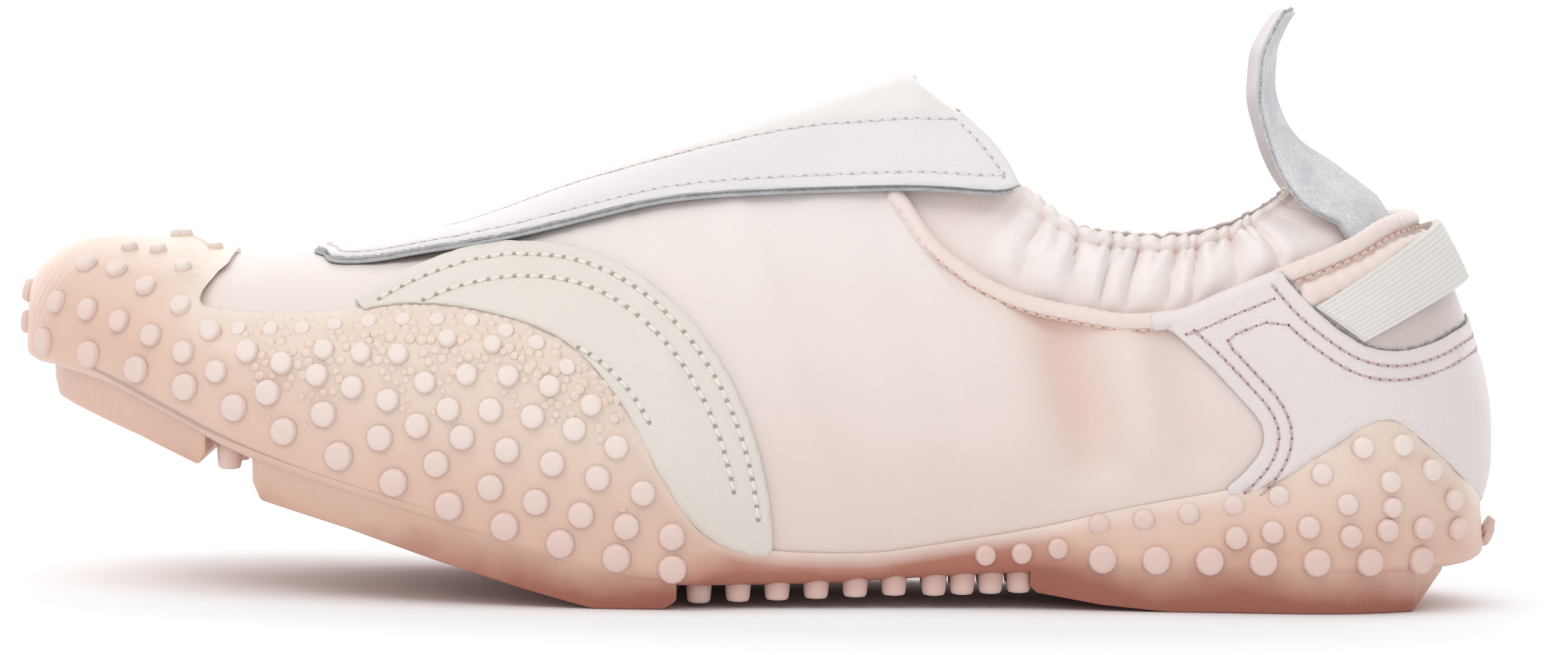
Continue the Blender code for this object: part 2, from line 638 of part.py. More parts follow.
def wall_seat(x, z, side):
    """A point of the sole's outside and its outward direction, seen at x, z."""
    aim_x, aim_z = x, z
    for _ in range(8):
        u, v = locate(np.array(aim_x), np.array(max(aim_z, float(foot_at(aim_x)))))
        side_foot = wall_point(u, side)
        corner_top = base_at(side_foot[0]) + CORNER_DROP
        if z >= side_foot[2]:
            point, away = wall_point(u, side * v), skin_normal(u, side * v)
            aim_z += z - point[2]
        elif z >= corner_top:
            point, away = np.append(side_foot[:2], z), foot_rim(u, side)[1]
        else:
            sine = min(1.0, (corner_top - z) / CORNER_DROP)
            point = corner_point(u, side, math.asin(sine) / (math.pi / 2))
            away = foot_rim(u, side)[1] * math.sqrt(1 - sine ** 2) - [0.0, 0.0, sine]
        aim_x += x - point[0]
    return Vector(point), Vector(away).normalized()


def add_nub(bm, seat, away, size, height):
    turn = Vector((0, 0, 1)).rotation_difference(away).to_matrix().to_4x4()
    middle = seat + away * (height - NUB_ROOT) / 2
    bmesh.ops.create_cone(bm, cap_ends=True, segments=NUB_SIDES, radius1=size,
                          radius2=size * NUB_TIP, depth=height + NUB_ROOT,
                          matrix=Matrix.Translation(middle) @ turn)


def side_nubs(bm):
    for row in NUB_ROWS:
        for share in np.linspace(0.0, 1.0, row.count):
            x = row.x_first + (row.x_last - row.x_first) * share
            z = (row.z_first * (1 - share) * (1 - 2 * share)
                 + row.z_middle * 4 * share * (1 - share)
                 + row.z_last * share * (2 * share - 1))
            for side in (OUTER, INNER):
                seat, away = wall_seat(x, z, side)
                add_nub(bm, seat, away, row.size, NUB_HEIGHT)


def end_nubs(bm):
    for x, heights in ((TOE_TIP - 9.0, TOE_NUBS), (HEEL_BACK + 9.0, HEEL_NUBS)):
        for z in heights:
            seat, away = wall_seat(x, z, INNER)
            add_nub(bm, seat, away, END_NUB_SIZE, NUB_HEIGHT)


def hanging_nubs(bm):
    """Nubs that hang from the sole's underside where it has no tread."""
    for row in HANGING_NUBS:
        for share in np.linspace(0.0, 1.0, row.count):
            x = row.x_first + (row.x_last - row.x_first) * share
            tip = row.tip_first + (row.tip_last - row.tip_first) * share
            u = locate(np.array(x), foot_at(x))[0]
            low = skin_point(u, OUTER)[1] + 2.5
            high = skin_point(u, INNER)[1] - 2.5
            for y in np.linspace(low, high, row.across):
                seat = Vector((x, y, float(base_at(x))))
                add_nub(bm, seat, Vector((0, 0, -1)), HANG_SIZE, seat.z - tip)


def above_wall_outline():
    edge = wall_edge_line()
    return np.vstack([edge, [[WALL_EDGE[-1].x, CUT_TOP], [WALL_EDGE[0].x, CUT_TOP]]])


def make_sole(parts, cutters, material):
    sole = bag("sole", sole_rings(), parts, material)
    for name, profile in (("tread_front", TREAD_FRONT), ("tread_main", TREAD_MAIN),
                          ("tread_heel", TREAD_HEEL)):
        combine(sole, tread_block(name, profile, cutters), "UNION")
    bm = bmesh.new()
    side_nubs(bm)
    end_nubs(bm)
    hanging_nubs(bm)
    nubs = cutter(mesh_object("nubs", bm, cutters))
    combine(sole, nubs, "UNION", "MANIFOLD")    # the exact solver drops the body here
    combine(sole, cutter(bag("sole_cavity", cavity_rings(), cutters)), "DIFFERENCE")
    above = prism("above_wall", above_wall_outline(), -SIDE_REACH, SIDE_REACH, cutters)
    combine(sole, above, "DIFFERENCE")
    return sole


# --------------------------------------------------------- upper and its layers
def skin_band(name, outer_lift, inner_lift, collection, material, u=U_LINES, v=V_LINES):
    u, v = u[:, None], v[None, :]
    return shell(name, skin(u, v, outer_lift), skin(u, v, inner_lift), collection, material)


def make_upper(parts, cutters, material):
    upper = skin_band("upper", 0.0, -UPPER_WALL, parts, material)
    edge = offset_line(smooth_line(TOPLINE, 2), -(ROLL_RADIUS + ROLL_GAP))
    opening = np.vstack([edge, [[TOPLINE[-1].x, CUT_TOP], [TOPLINE[0].x, CUT_TOP]]])
    combine(upper, prism("opening", opening, -SIDE_REACH, SIDE_REACH, cutters), "DIFFERENCE")
    return upper


def make_insole(parts, material):
    u = U_LINES[::2, None]
    x = skin_point(u, OUTER)[..., 0]
    rim_v = locate(x, foot_at(x) + INSOLE_DEPTH)[1]
    sides = []
    for side in (OUTER, INNER):
        foot = skin(u, side, INSOLE_LIFT)
        top = skin(u, side * rim_v, INSOLE_LIFT)
        sides.append(np.concatenate([foot, top], axis=1))
    share = np.linspace(0.0, 1.0, 4)[1:-1][None, :, None]
    across = [(sides[0][:, k:k + 1] * (1 - share) + sides[1][:, k:k + 1] * share)
              for k in (0, 1)]
    rings = np.concatenate([sides[0], across[1], sides[1][:, ::-1], across[0][:, ::-1]], axis=1)
    return bag("insole", rings, parts, material)


def frame_lift(point):
    """The border lies on the vamp at its front and over the satin flap behind."""
    return 0.4 + 1.2 * smoothstep((point[..., 0] + 184.0) / 20.0)


def tongue_lift(point):
    """The flap's satin swells a little along its middle, inside the window."""
    away = np.abs(point[..., 1] - centre_at(point[..., 0]))
    room = Curve(FRAME_WINDOW, "x", "half_width")(point[..., 0])
    return 1.2 + 0.8 * smoothstep(1 - away / room) * smoothstep((point[..., 0] + 125) / 30)


def lines_between(lines, low, high):
    keep = (lines >= low - 1e-9) & (lines <= high + 1e-9)
    return lines[keep]


def span_grid(span):
    u = lines_between(U_LINES, span.u_first, span.u_last)[:, None]
    v = lines_between(V_LINES, span.v_first, span.v_last)[None, :]
    return u, v


def make_tongue(parts, cutters, material):
    u, v = span_grid(FLAP_SPAN)
    lift = tongue_lift(skin_point(u, v))
    tongue = shell("tongue", skin(u, v, lift), skin(u, v, TONGUE_LIFT), parts, material,
                   open_ends=True)
    lower = offset_line(smooth_line(FRAME_LOWER[4:], 2), 1.6)
    lower = lower[lower[:, 0] > TONGUE_FRONT]
    rear = offset_line(smooth_line(FLAP_REAR, 2), 0.6)
    outline = np.vstack([lower[:-2], rear[1:], [[FLAP_REAR[-1].x, CUT_TOP], [TONGUE_FRONT, CUT_TOP]]])
    combine(tongue, prism("tongue_outline", outline, -SIDE_REACH, SIDE_REACH, cutters), "INTERSECT")
    return tongue


def window_outline():
    """Seen from above, both sides of the shoe's curved middle line."""
    x = np.array([row.x for row in FRAME_WINDOW])
    half = np.array([row.half_width for row in FRAME_WINDOW])
    out = np.stack([x, centre_at(x) - half], axis=1)
    inner = np.stack([x, centre_at(x) + half], axis=1)
    return np.vstack([out, inner[::-1]])


def make_tongue_frame(parts, cutters, material):
    u, v = span_grid(FLAP_SPAN)
    lift = frame_lift(skin_point(u, v))
    frame = shell("tongue_frame", skin(u, v, lift + FRAME_WALL), skin(u, v, lift), parts,
                  material, open_ends=True)
    lower = np.array(FRAME_LOWER)
    rear = np.array(FLAP_REAR)[1:]
    outline = np.vstack([lower, rear, [[FLAP_REAR[-1].x, CUT_TOP], [FRAME_LOWER[0].x - FIT, CUT_TOP]]])
    combine(frame, prism("frame_outline", outline, -SIDE_REACH, SIDE_REACH, cutters), "INTERSECT")
    window = prism("frame_window", window_outline(), 50, 130, cutters, axis=2)
    combine(frame, window, "DIFFERENCE")
    return frame


def mudguard_outline():
    """A rising bow, a quarter ellipse down to the arch, and back along the rubber."""
    crest, front, rear = MUDGUARD_CREST, MUDGUARD_FRONT, MUDGUARD_REAR
    share = np.linspace(1.0, 0.0, 7)
    rise = np.stack([crest.x - (crest.x - front.x) * share,
                     crest.z - (crest.z - front.z) * share ** 2], axis=1)
    fall = arc((crest.x, rear.z), rear.x - crest.x, crest.z - rear.z, 90, 0, 12)
    edge = offset_line(wall_edge_line(), EDGE_GAP)
    low = edge[(edge[:, 0] > front.x + 1.0) & (edge[:, 0] < rear.x - 1.0) & (edge[:, 1] < 58)]
    return np.vstack([rise, fall[1:-1], low[::-1]])


def make_side_panel(name, side, parts, cutters, material):
    u, v = span_grid(PANEL_SPAN)
    v = side * v
    panel = shell(name, skin(u, v, PANEL_LIFT + PANEL_WALL), skin(u, v, PANEL_LIFT), parts,
                  material, open_ends=True, falling=side == OUTER)
    low, high = sorted((0.0, side * SIDE_REACH))
    outline = prism(name + "_outline", mudguard_outline(), low, high, cutters)
    combine(panel, outline, "INTERSECT")
    return panel


def counter_outline():
    front = np.array(COUNTER_FRONT)
    edge = offset_line(wall_edge_line(), EDGE_GAP)
    low = edge[edge[:, 0] > COUNTER_FRONT[-1].x + 0.6]
    notch = smooth_line(COUNTER_NOTCH, 2)
    top = offset_line(smooth_line(TOPLINE, 2), -(ROLL_RADIUS + ROLL_GAP))
    top = top[(top[:, 0] > COUNTER_FRONT[0].x + 1) & (top[:, 0] < notch[-1][0] - 1)]
    return np.vstack([front, low, notch[:-2], top[::-1]])


def make_heel_counter(parts, cutters, material):
    u, v = np.broadcast_arrays(*span_grid(COUNTER_SPAN))
    grid_u = np.vstack([u, u[-2::-1]])
    grid_v = np.vstack([OUTER * v, INNER * v[-2::-1]])
    counter = shell("heel_counter", skin(grid_u, grid_v, PANEL_LIFT + PANEL_WALL),
                    skin(grid_u, grid_v, PANEL_LIFT), parts, material, open_ends=True,
                    falling=True)
    outline = prism("counter_outline", counter_outline(), -SIDE_REACH, SIDE_REACH, cutters)
    combine(counter, outline, "INTERSECT")
    return counter


# ------------------------------------------------------- collar, rolls and heel
def round_heel(lines):
    """u and side along a path from the outer side round the heel to the inner."""
    u = np.concatenate([lines, lines[-2::-1]])
    side = np.repeat([OUTER, INNER], [len(lines), len(lines) - 1])
    return u, side


def collar_surface(lift):
    u, side = round_heel(U_LINES[COLLAR_LINE:])
    share = (u - u[0]) / (1 - u[0])
    depth = COLLAR_LIFT + (COLLAR_HEEL_LIFT - COLLAR_LIFT) * smoothstep((share - 0.45) / 0.2)
    v = topline_v(u)
    root = skin(u, side * np.minimum(v + 0.10, 1.0), depth + lift)
    start = skin(u, side * v, depth + lift)
    edge = np.stack([Curve(COLLAR_EDGE, "share", "x")(share),
                     side * (Curve(COLLAR_EDGE, "share", "half_width")(share) + lift)
                     + centre_at(Curve(COLLAR_EDGE, "share", "x")(share)),
                     Curve(COLLAR_EDGE, "share", "z")(share)], axis=-1)
    rise = edge[..., 2] - start[..., 2]
    bulge = start.copy()
    bulge[..., 2] += 0.62 * rise
    bulge[..., :2] = start[..., :2] + 0.12 * (edge[..., :2] - start[..., :2])
    rows = [root, start]
    for t in (0.35, 0.7, 1.0):
        rows.append((1 - t) ** 2 * start + 2 * t * (1 - t) * bulge + t * t * edge)
    return np.stack(rows, axis=1)


def make_collar(parts, material):
    return shell("collar", collar_surface(0.0), collar_surface(-COLLAR_WALL), parts, material,
                 open_ends=True)


def topline_path(x_first, x_last, side):
    line = smooth_line(TOPLINE, 2)[:, 0]
    between = line[(line > x_first + 1) & (line < x_last - 1)]
    x = np.concatenate([[x_first], between, [x_last]])
    u, v = locate(x, topline_height(x))
    return skin(u, side * v, ROLL_LIFT)


def make_rolls(parts, satin, leather):
    """The rolled edge round the opening, in the stretches that a maker sews."""
    for side, word in ((OUTER, "outer"), (INNER, "inner")):
        tube("topline_piping_" + word, topline_path(-74.4, -26.0, side), ROLL_RADIUS,
             parts, satin)
        tube("counter_binding_" + word, topline_path(-25.2, -3.2, side), ROLL_RADIUS,
             parts, leather)
    u_front = float(locate(np.array(-2.4), topline_height(-2.4))[0])
    u, side = round_heel(np.append(u_front, U_LINES[U_LINES > u_front + 0.01]))
    path = skin(u, side * topline_v(u), ROLL_LIFT)
    tube("heel_binding", path, ROLL_RADIUS, parts, satin)


def make_webbing(parts, material):
    s = np.linspace(-1.0, 1.0, 17)[:, None]
    t = np.linspace(0.0, 1.0, 3)[None, :]
    ends = [locate(np.array(edge.side_x), np.array(edge.side_z)) for edge in (WEB_TOP, WEB_BOTTOM)]
    spans = [1 - u for u, _ in ends]
    span = spans[0] * (1 - t) + spans[1] * t
    side_z = WEB_TOP.side_z * (1 - t) + WEB_BOTTOM.side_z * t
    back_z = WEB_TOP.back_z * (1 - t) + WEB_BOTTOM.back_z * t
    u = 1 - span * np.abs(s)
    z = back_z + (side_z - back_z) * s * s
    end = LAST[-1]
    high = (z - end.foot) / (end.ridge - end.foot)
    wide = (1 - high ** end.power) ** (1 / end.power)
    v = np.where(s < 0, -1, 1) * (1 - np.arctan2(high, wide) / (math.pi / 2))
    lift = WEB_SIDE_LIFT + (WEB_BACK_LIFT - WEB_SIDE_LIFT) * smoothstep((1 - np.abs(s)) / 0.8)
    return shell("heel_webbing", skin(u, v, lift + WEB_WALL), skin(u, v, lift), parts,
                 material, open_ends=True)


def make_pull_tab(parts, material):
    s = np.linspace(-1.0, 1.0, 7)
    span = 1 - float(locate(np.array(14.5), np.array(69.0))[0])
    rows = []
    for v_extra in (0.085, 0.03):
        u = 1 - span * np.abs(s)
        v = np.where(s < 0, -1, 1) * (topline_v(u) + v_extra)
        rows.append(skin(u, v, TAB_ROOT_LIFT))
    for row in TAB:
        x = row.centre_x + (row.edge_x - row.centre_x) * s * s
        z = row.centre_z + (row.edge_z - row.centre_z) * s * s
        rows.append(np.stack([x, s * row.half_width, z], axis=-1))
    bm = bmesh.new()
    add_grid(bm, np.array(rows))
    tab = mesh_object("pull_tab", bm, parts, material)
    wall = tab.modifiers.new("Wall", "SOLIDIFY")
    wall.thickness = TAB_WALL * MM
    wall.offset = 0.0
    return tab


def main():
    clear_scene()
    parts = new_collection("slip_on_sneaker")
    cutters = new_collection("cutters")
    finish = {name: new_material(name, look) for name, look in FINISHES.items()}
    make_sole(parts, cutters, finish["rubber"])
    make_insole(parts, finish["foam"])
    make_upper(parts, cutters, finish["satin"])
    make_collar(parts, finish["satin"])
    make_tongue(parts, cutters, finish["satin"])
    make_tongue_frame(parts, cutters, finish["pink_leather"])
    for side, word in ((OUTER, "outer"), (INNER, "inner")):
        make_side_panel("side_panel_" + word, side, parts, cutters, finish["cream_leather"])
    make_heel_counter(parts, cutters, finish["pink_leather"])
    make_rolls(parts, finish["satin"], finish["pink_leather"])
    make_webbing(parts, finish["webbing"])
    make_pull_tab(parts, finish["suede"])


main()
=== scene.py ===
import math
from collections import namedtuple
from contextlib import contextmanager

import bmesh
import bpy
import numpy as np
from mathutils import Matrix, Vector, geometry, kdtree


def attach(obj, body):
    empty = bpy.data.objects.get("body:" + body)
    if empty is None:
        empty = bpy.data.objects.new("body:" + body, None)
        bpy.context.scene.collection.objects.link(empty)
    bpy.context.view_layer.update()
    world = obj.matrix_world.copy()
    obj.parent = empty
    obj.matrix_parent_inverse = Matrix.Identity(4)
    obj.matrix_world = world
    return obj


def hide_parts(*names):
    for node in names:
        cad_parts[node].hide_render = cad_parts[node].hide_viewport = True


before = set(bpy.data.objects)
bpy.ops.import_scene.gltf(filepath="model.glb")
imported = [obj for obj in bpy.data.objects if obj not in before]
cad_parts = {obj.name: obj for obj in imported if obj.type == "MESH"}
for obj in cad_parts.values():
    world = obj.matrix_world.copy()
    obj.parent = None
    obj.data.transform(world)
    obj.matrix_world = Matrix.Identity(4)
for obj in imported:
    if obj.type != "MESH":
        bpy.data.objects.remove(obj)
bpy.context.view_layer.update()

# A left slip-on sneaker: toe along -X, outer side facing -Y.  Tables and sizes are in
# millimetres, and MM turns them into metres where a mesh is made.
MM = 0.001
OUTER, INNER = -1, 1  # the shoe's two sides, as the sign of Y
SIDES = ((OUTER, "outer"), (INNER, "inner"))


def table(kind, *rows):
    """Named rows from plain ones."""
    return tuple(kind(*row) for row in rows)


# ---- the last
TOE_TIP = -236.7
HEEL_BACK = 39.2
TOE_DEPTH = 24.0
TOE_UPRIGHT = math.radians(20)
TOE_ROUND_FROM = -165.0
HEEL_ROUND_FROM = 5.0
FEATHER_TUCK = 0.07

Station = namedtuple("Station", "x half_width centre foot ridge base power")
LAST = table(Station,
    (-236.7, 42.0, 9.5, 47.5, 61.3, 41.0, 2.40),
    (-225.0, 42.0, 8.7, 42.7, 61.3, 38.4, 2.40),
    (-214.0, 42.0, 7.6, 37.6, 61.5, 33.8, 2.40),
    (-200.0, 42.0, 6.0, 31.2, 62.5, 27.4, 2.40),
    (-186.0, 42.5, 4.2, 26.3, 63.1, 22.4, 2.40),
    (-172.0, 43.3, 2.7, 22.2, 63.8, 18.4, 2.38),
    (-158.0, 44.0, 1.2, 18.2, 66.7, 14.4, 2.34),
    (-150.0, 44.3, 0.4, 16.0, 69.6, 12.0, 2.30),
    (-135.0, 44.0, -1.1, 12.0, 75.8, 7.6, 2.24),
    (-118.0, 42.0, -2.5, 8.8, 81.7, 4.6, 2.16),
    (-100.0, 38.8, -3.5, 8.0, 87.5, 4.4, 2.08),
    (-84.0, 35.7, -3.7, 8.3, 92.8, 4.8, 2.02),
    (-68.0, 33.0, -3.4, 9.3, 98.5, 5.8, 2.00),
    (-50.0, 31.0, -2.5, 10.8, 104.4, 6.8, 2.00),
    (-30.0, 30.0, -1.2, 11.6, 109.0, 7.2, 2.04),
    (0.0, 30.0, -0.1, 12.4, 112.0, 7.2, 2.14),
    (39.2, 29.5, 0.4, 14.0, 112.0, 8.4, 2.20),
)

HeelRow = namedtuple("HeelRow", "z x")
HEEL_LINE = table(HeelRow,
    (14.0, 35.0), (20.0, 37.6), (28.0, 39.2), (36.0, 39.0), (42.0, 38.1), (50.0, 35.9),
    (60.0, 32.3), (72.0, 26.0), (85.0, 17.0), (112.0, 0.0),
)

# ---- layers and gaps
FIT = 0.4
UPPER_WALL = 1.8
PANEL_WALL = 1.2
FRAME_WALL = 1.3
WALL_EDGE_LIFT = 0.42  # the rubber's outside at its thin top edge
WALL_LIFT = 3.3
WALL_TAPER = 9.0
WALL_FLARE = 1.6
FLARE_HEIGHT = 12.0
FLOOR_DROP = 0.4
CORNER_RADIUS = 4.0
CORNER_DROP = 2.8

# ---- outlines seen from the side
SidePoint = namedtuple("SidePoint", "x z")
TOPLINE = table(SidePoint,
    (-126.0, 79.6), (-98.0, 79.8), (-82.0, 79.6), (-75.4, 77.6), (-71.2, 72.2), (-68.0, 68.2),
    (-63.6, 64.6), (-58.0, 61.0), (-50.0, 57.8), (-40.0, 55.8), (-31.0, 54.6), (-22.0, 55.4),
    (-12.0, 59.4), (-2.0, 63.6), (11.0, 69.0), (20.0, 73.4), (32.0, 74.8), (60.0, 74.8),
)
WALL_EDGE = table(SidePoint,
    (-197.0, 90.0), (-200.8, 64.4), (-203.2, 60.0), (-205.6, 56.4), (-205.2, 54.0),
    (-200.4, 53.2), (-190.0, 53.0), (-178.0, 54.0), (-168.0, 55.8), (-159.0, 56.0),
    (-150.8, 55.0), (-142.9, 53.2), (-135.5, 50.0), (-129.0, 44.4), (-123.0, 36.2),
    (-118.0, 27.2), (-113.0, 19.2), (-107.0, 13.8), (-98.5, 11.2), (-80.0, 10.6), (-66.9, 12.2),
    (-46.9, 15.6), (-29.2, 19.7), (-11.3, 23.2), (-3.0, 26.0), (7.3, 32.7), (13.5, 36.8),
    (17.2, 37.9), (21.4, 36.9), (30.5, 29.4), (37.0, 23.2), (40.0, 21.4), (60.0, 20.6),
)
FRAME_LOWER = table(SidePoint,
    (-184.3, 64.4), (-183.4, 62.8), (-179.6, 61.8), (-173.9, 61.8), (-166.4, 62.7),
    (-149.1, 66.2), (-131.8, 70.9), (-119.0, 74.2), (-105.8, 76.0), (-86.6, 77.4),
    (-70.0, 78.2), (-56.2, 77.7), (-51.6, 78.8),
)
FLAP_REAR = table(SidePoint,
    (-51.6, 78.8), (-54.9, 84.4), (-61.2, 91.2), (-65.4, 94.4), (-69.6, 96.4), (-72.6, 97.8),
)
COUNTER_FRONT = table(SidePoint,
    (-23.6, 53.0), (-22.1, 52.2), (-15.8, 46.7), (-9.5, 40.3), (-6.2, 36.6), (-5.0, 33.2),
    (-6.2, 29.5), (-9.4, 25.7), (-11.8, 23.8),
)
COUNTER_NOTCH = table(SidePoint,
    (60.0, 55.4), (37.0, 54.4), (27.2, 50.9), (20.4, 49.4), (14.2, 50.2), (8.4, 53.6),
    (2.6, 58.4), (-2.4, 64.0),
)
MUDGUARD_CREST = SidePoint(-141.0, 66.5)
MUDGUARD_FRONT = SidePoint(-176.0, 55.1)
MUDGUARD_REAR = SidePoint(-97.0, 9.0)

WindowRow = namedtuple("WindowRow", "x half_width")
FRAME_WINDOW = table(WindowRow,
    (-163.0, 0.6), (-159.0, 2.4), (-150.0, 4.4), (-138.0, 6.6), (-126.0, 8.0), (-104.0, 8.9),
    (-89.0, 10.6), (-80.0, 12.4), (-64.0, 14.6), (-40.0, 16.0),
)


# ---- 1-D curves
class Curve:
    """A smooth curve through the rows of a table, with no overshoot between them."""

    def __init__(self, rows, key, column):
        self.at = np.array([getattr(row, key) for row in rows], float)
        self.value = np.array([getattr(row, column) for row in rows], float)
        self.step = np.diff(self.at)
        rise = np.diff(self.value) / self.step
        slope = np.concatenate(([rise[0]], np.zeros(len(rise) - 1), [rise[-1]]))
        turning = rise[:-1] * rise[1:] > 0
        weight_a = 2 * self.step[1:] + self.step[:-1]
        weight_b = self.step[1:] + 2 * self.step[:-1]
        safe = np.where(turning, rise[:-1], 1.0), np.where(turning, rise[1:], 1.0)
        mean = (weight_a + weight_b) / (weight_a / safe[0] + weight_b / safe[1])
        slope[1:-1] = np.where(turning, mean, 0.0)
        self.slope = slope

    def __call__(self, at):
        at = np.clip(at, self.at[0], self.at[-1])
        i = np.clip(np.searchsorted(self.at, at, side="right") - 1, 0, len(self.step) - 1)
        h = self.step[i]
        t = (at - self.at[i]) / h
        return ((1 + 2 * t) * (1 - t) ** 2 * self.value[i] + t * (1 - t) ** 2 * h * self.slope[i]
                + t * t * (3 - 2 * t) * self.value[i + 1] + t * t * (t - 1) * h * self.slope[i + 1])


def ramp(at, start, end):
    """0 before start, 1 past end and eased between them; end may be the lower one."""
    t = np.clip((at - start) / (end - start), 0.0, 1.0)
    return t * t * (3 - 2 * t)


def shares(count):
    """Even steps from 0 to 1."""
    return np.linspace(0.0, 1.0, count)


def bell(at, middle, width):
    """1 at the middle, and next to nothing from twice the width away."""
    return np.exp(-((at - middle) / width) ** 2)


def unit(vectors):
    return vectors / np.linalg.norm(vectors, axis=-1, keepdims=True)


half_width_at = Curve(LAST, "x", "half_width")
centre_at = Curve(LAST, "x", "centre")
foot_at = Curve(LAST, "x", "foot")
ridge_at = Curve(LAST, "x", "ridge")
power_at = Curve(LAST, "x", "power")
base_at = Curve(LAST, "x", "base")
heel_line = Curve(HEEL_LINE, "z", "x")
topline_height = Curve(TOPLINE, "x", "z")


# ---- the last's surface
def section(angle, power):
    """Width and height share of a superellipse at the given angle."""
    c, s = np.abs(np.cos(angle)), np.abs(np.sin(angle))
    r = (c ** power + s ** power) ** (-1.0 / power)
    return r * c, r * s


def toe_line(angle):
    """Where the toe ends at each height, which rounds back over its upright front."""
    share = np.clip((angle - TOE_UPRIGHT) / (math.pi / 2 - TOE_UPRIGHT), 0.0, 1.0)
    return TOE_TIP + TOE_DEPTH * (1 - np.cos(share * math.pi / 2))


def back_line(angle):
    end = LAST[-1]
    height = section(angle, end.power)[1]
    return heel_line(end.foot + (end.ridge - end.foot) * height)


def plan_half_width(x):
    """Half the last's width, rounded off at the toe and the heel."""
    toe = np.clip((x - TOE_ROUND_FROM) / (TOE_TIP - TOE_ROUND_FROM), 0.0, 1.0)
    heel = np.clip((x - HEEL_ROUND_FROM) / (HEEL_BACK - HEEL_ROUND_FROM), 0.0, 1.0)
    return half_width_at(x) * np.sqrt((1 - toe ** 2) * (1 - heel ** 2))


def skin_point(u, v):
    """A point of the last; past either end it carries on down the other side.

    u runs from toe (0) to heel (1), v from the outer feather edge (-1) over the
    ridge (0) to the inner one (+1).
    """
    u, v = np.broadcast_arrays(np.asarray(u, float), np.asarray(v, float))
    beyond = (u < 0) | (u > 1)
    u = np.where(u < 0, -u, np.where(u > 1, 2 - u, u))
    v = np.clip(np.where(beyond, -v, v), -1.0, 1.0)
    angle = (1 - np.abs(v)) * math.pi / 2
    along = (1 - np.cos(math.pi * u)) / 2
    front = toe_line(angle)
    x = front + along * (back_line(angle) - front)
    wide, high = section(angle, power_at(x))
    nominal = TOE_TIP + along * (HEEL_BACK - TOE_TIP)
    reach = plan_half_width(nominal) * wide * (1 - FEATHER_TUCK * (1 - high) ** 3)
    y = centre_at(nominal) + np.sign(v) * reach
    z = foot_at(x) + (ridge_at(x) - foot_at(x)) * high
    return np.stack([x, y, z], axis=-1)


STEP_U, STEP_V = 2e-3, 4e-3  # steps for slopes on the surface
END_BLEND = 0.01  # share of u at each end where both sides share a normal


def skin_normal(u, v):
    """The outward direction, from the surface's slopes."""
    u = np.clip(u, END_BLEND, 1 - END_BLEND)
    along = skin_point(u + STEP_U, v) - skin_point(u - STEP_U, v)
    across = (skin_point(u, np.clip(v + STEP_V, -1, 1)) - skin_point(u, np.clip(v - STEP_V, -1, 1)))
    return unit(np.cross(along, across))


def normals(u, v):
    u, v = np.broadcast_arrays(np.asarray(u, float), np.asarray(v, float))
    v = np.where(u > 1, -v, v)
    u = np.where(u > 1, 2 - u, u)
    near_end = np.clip(1 - np.minimum(u, 1 - u) / END_BLEND, 0.0, 1.0)[..., None] / 2
    return unit((1 - near_end) * skin_normal(u, v) + near_end * skin_normal(u, -v))


def skin(u, v, lift):
    lift = np.asarray(lift, float)[..., None]
    return skin_point(u, v) + normals(u, v) * lift


def locate(x, z):
    """The u and |v| of the surface point seen at x, z from the side."""
    power = power_at(x)
    high = np.clip((z - foot_at(x)) / (ridge_at(x) - foot_at(x)), 0.0, 1.0)
    wide = (1 - high ** power) ** (1 / power)
    return along_share(x, np.arctan2(high, wide))


def locate_above(x, half_width):
    """The u and |v| of the surface point seen from above at x, beside the middle."""
    power = power_at(x)
    wide = np.clip(half_width / plan_half_width(x), 0.0, 1.0)
    high = (1 - wide ** power) ** (1 / power)
    return along_share(x, np.arctan2(high, wide))


def along_share(x, angle):
    """The u and |v| of the surface point at x, seen at an angle round the section."""
    front = toe_line(angle)
    along = np.clip((x - front) / (back_line(angle) - front), 0.0, 1.0)
    return np.arccos(1 - 2 * along) / math.pi, 1 - angle / (math.pi / 2)


HALVINGS = 40


def topline_v(u):
    """|v| at which the line u crosses the topline, found by halving."""
    low, high = np.zeros_like(u), np.ones_like(u)
    for _ in range(HALVINGS):
        middle = (low + high) / 2
        point = skin_point(u, middle)
        above = point[..., 2] > topline_height(point[..., 0])
        low, high = np.where(above, middle, low), np.where(above, high, middle)
    return (low + high) / 2


# ---- 2-D outlines
def smooth_line(points, per_span=3):
    """A rounder polyline through the points (Catmull-Rom)."""
    p = np.array(points, float)
    padded = np.vstack([2 * p[0] - p[1], p, 2 * p[-1] - p[-2]])
    line = []
    for i in range(1, len(padded) - 2):
        a, b, c, d = padded[i - 1:i + 3]
        for t in np.arange(per_span) / per_span:
            line.append(0.5 * (2 * b + (c - a) * t + (2 * a - 5 * b + 4 * c - d) * t * t
                               + (3 * b - a - 3 * c + d) * t ** 3))
    line.append(p[-1])
    return np.array(line)


def offset_line(line, distance):
    """The line moved sideways: a positive distance moves it to its left."""
    tangent = unit(np.gradient(line, axis=0))
    return line + distance * np.stack([-tangent[:, 1], tangent[:, 0]], axis=1)


def line_length(line):
    return np.concatenate([[0], np.cumsum(np.linalg.norm(np.diff(line, axis=0), axis=1))])


def even_line(line, step):
    """The same line with points a step apart."""
    line = np.asarray(line, float)
    length = line_length(line)
    at = np.linspace(0, length[-1], max(2, int(round(length[-1] / step)) + 1))
    return np.stack([np.interp(at, length, column) for column in line.T], axis=1)


def arc(centre, radius_x, radius_z, start, stop, count):
    angle = np.radians(np.linspace(start, stop, count))
    return np.stack([centre[0] + radius_x * np.cos(angle),
                     centre[1] + radius_z * np.sin(angle)], axis=1)


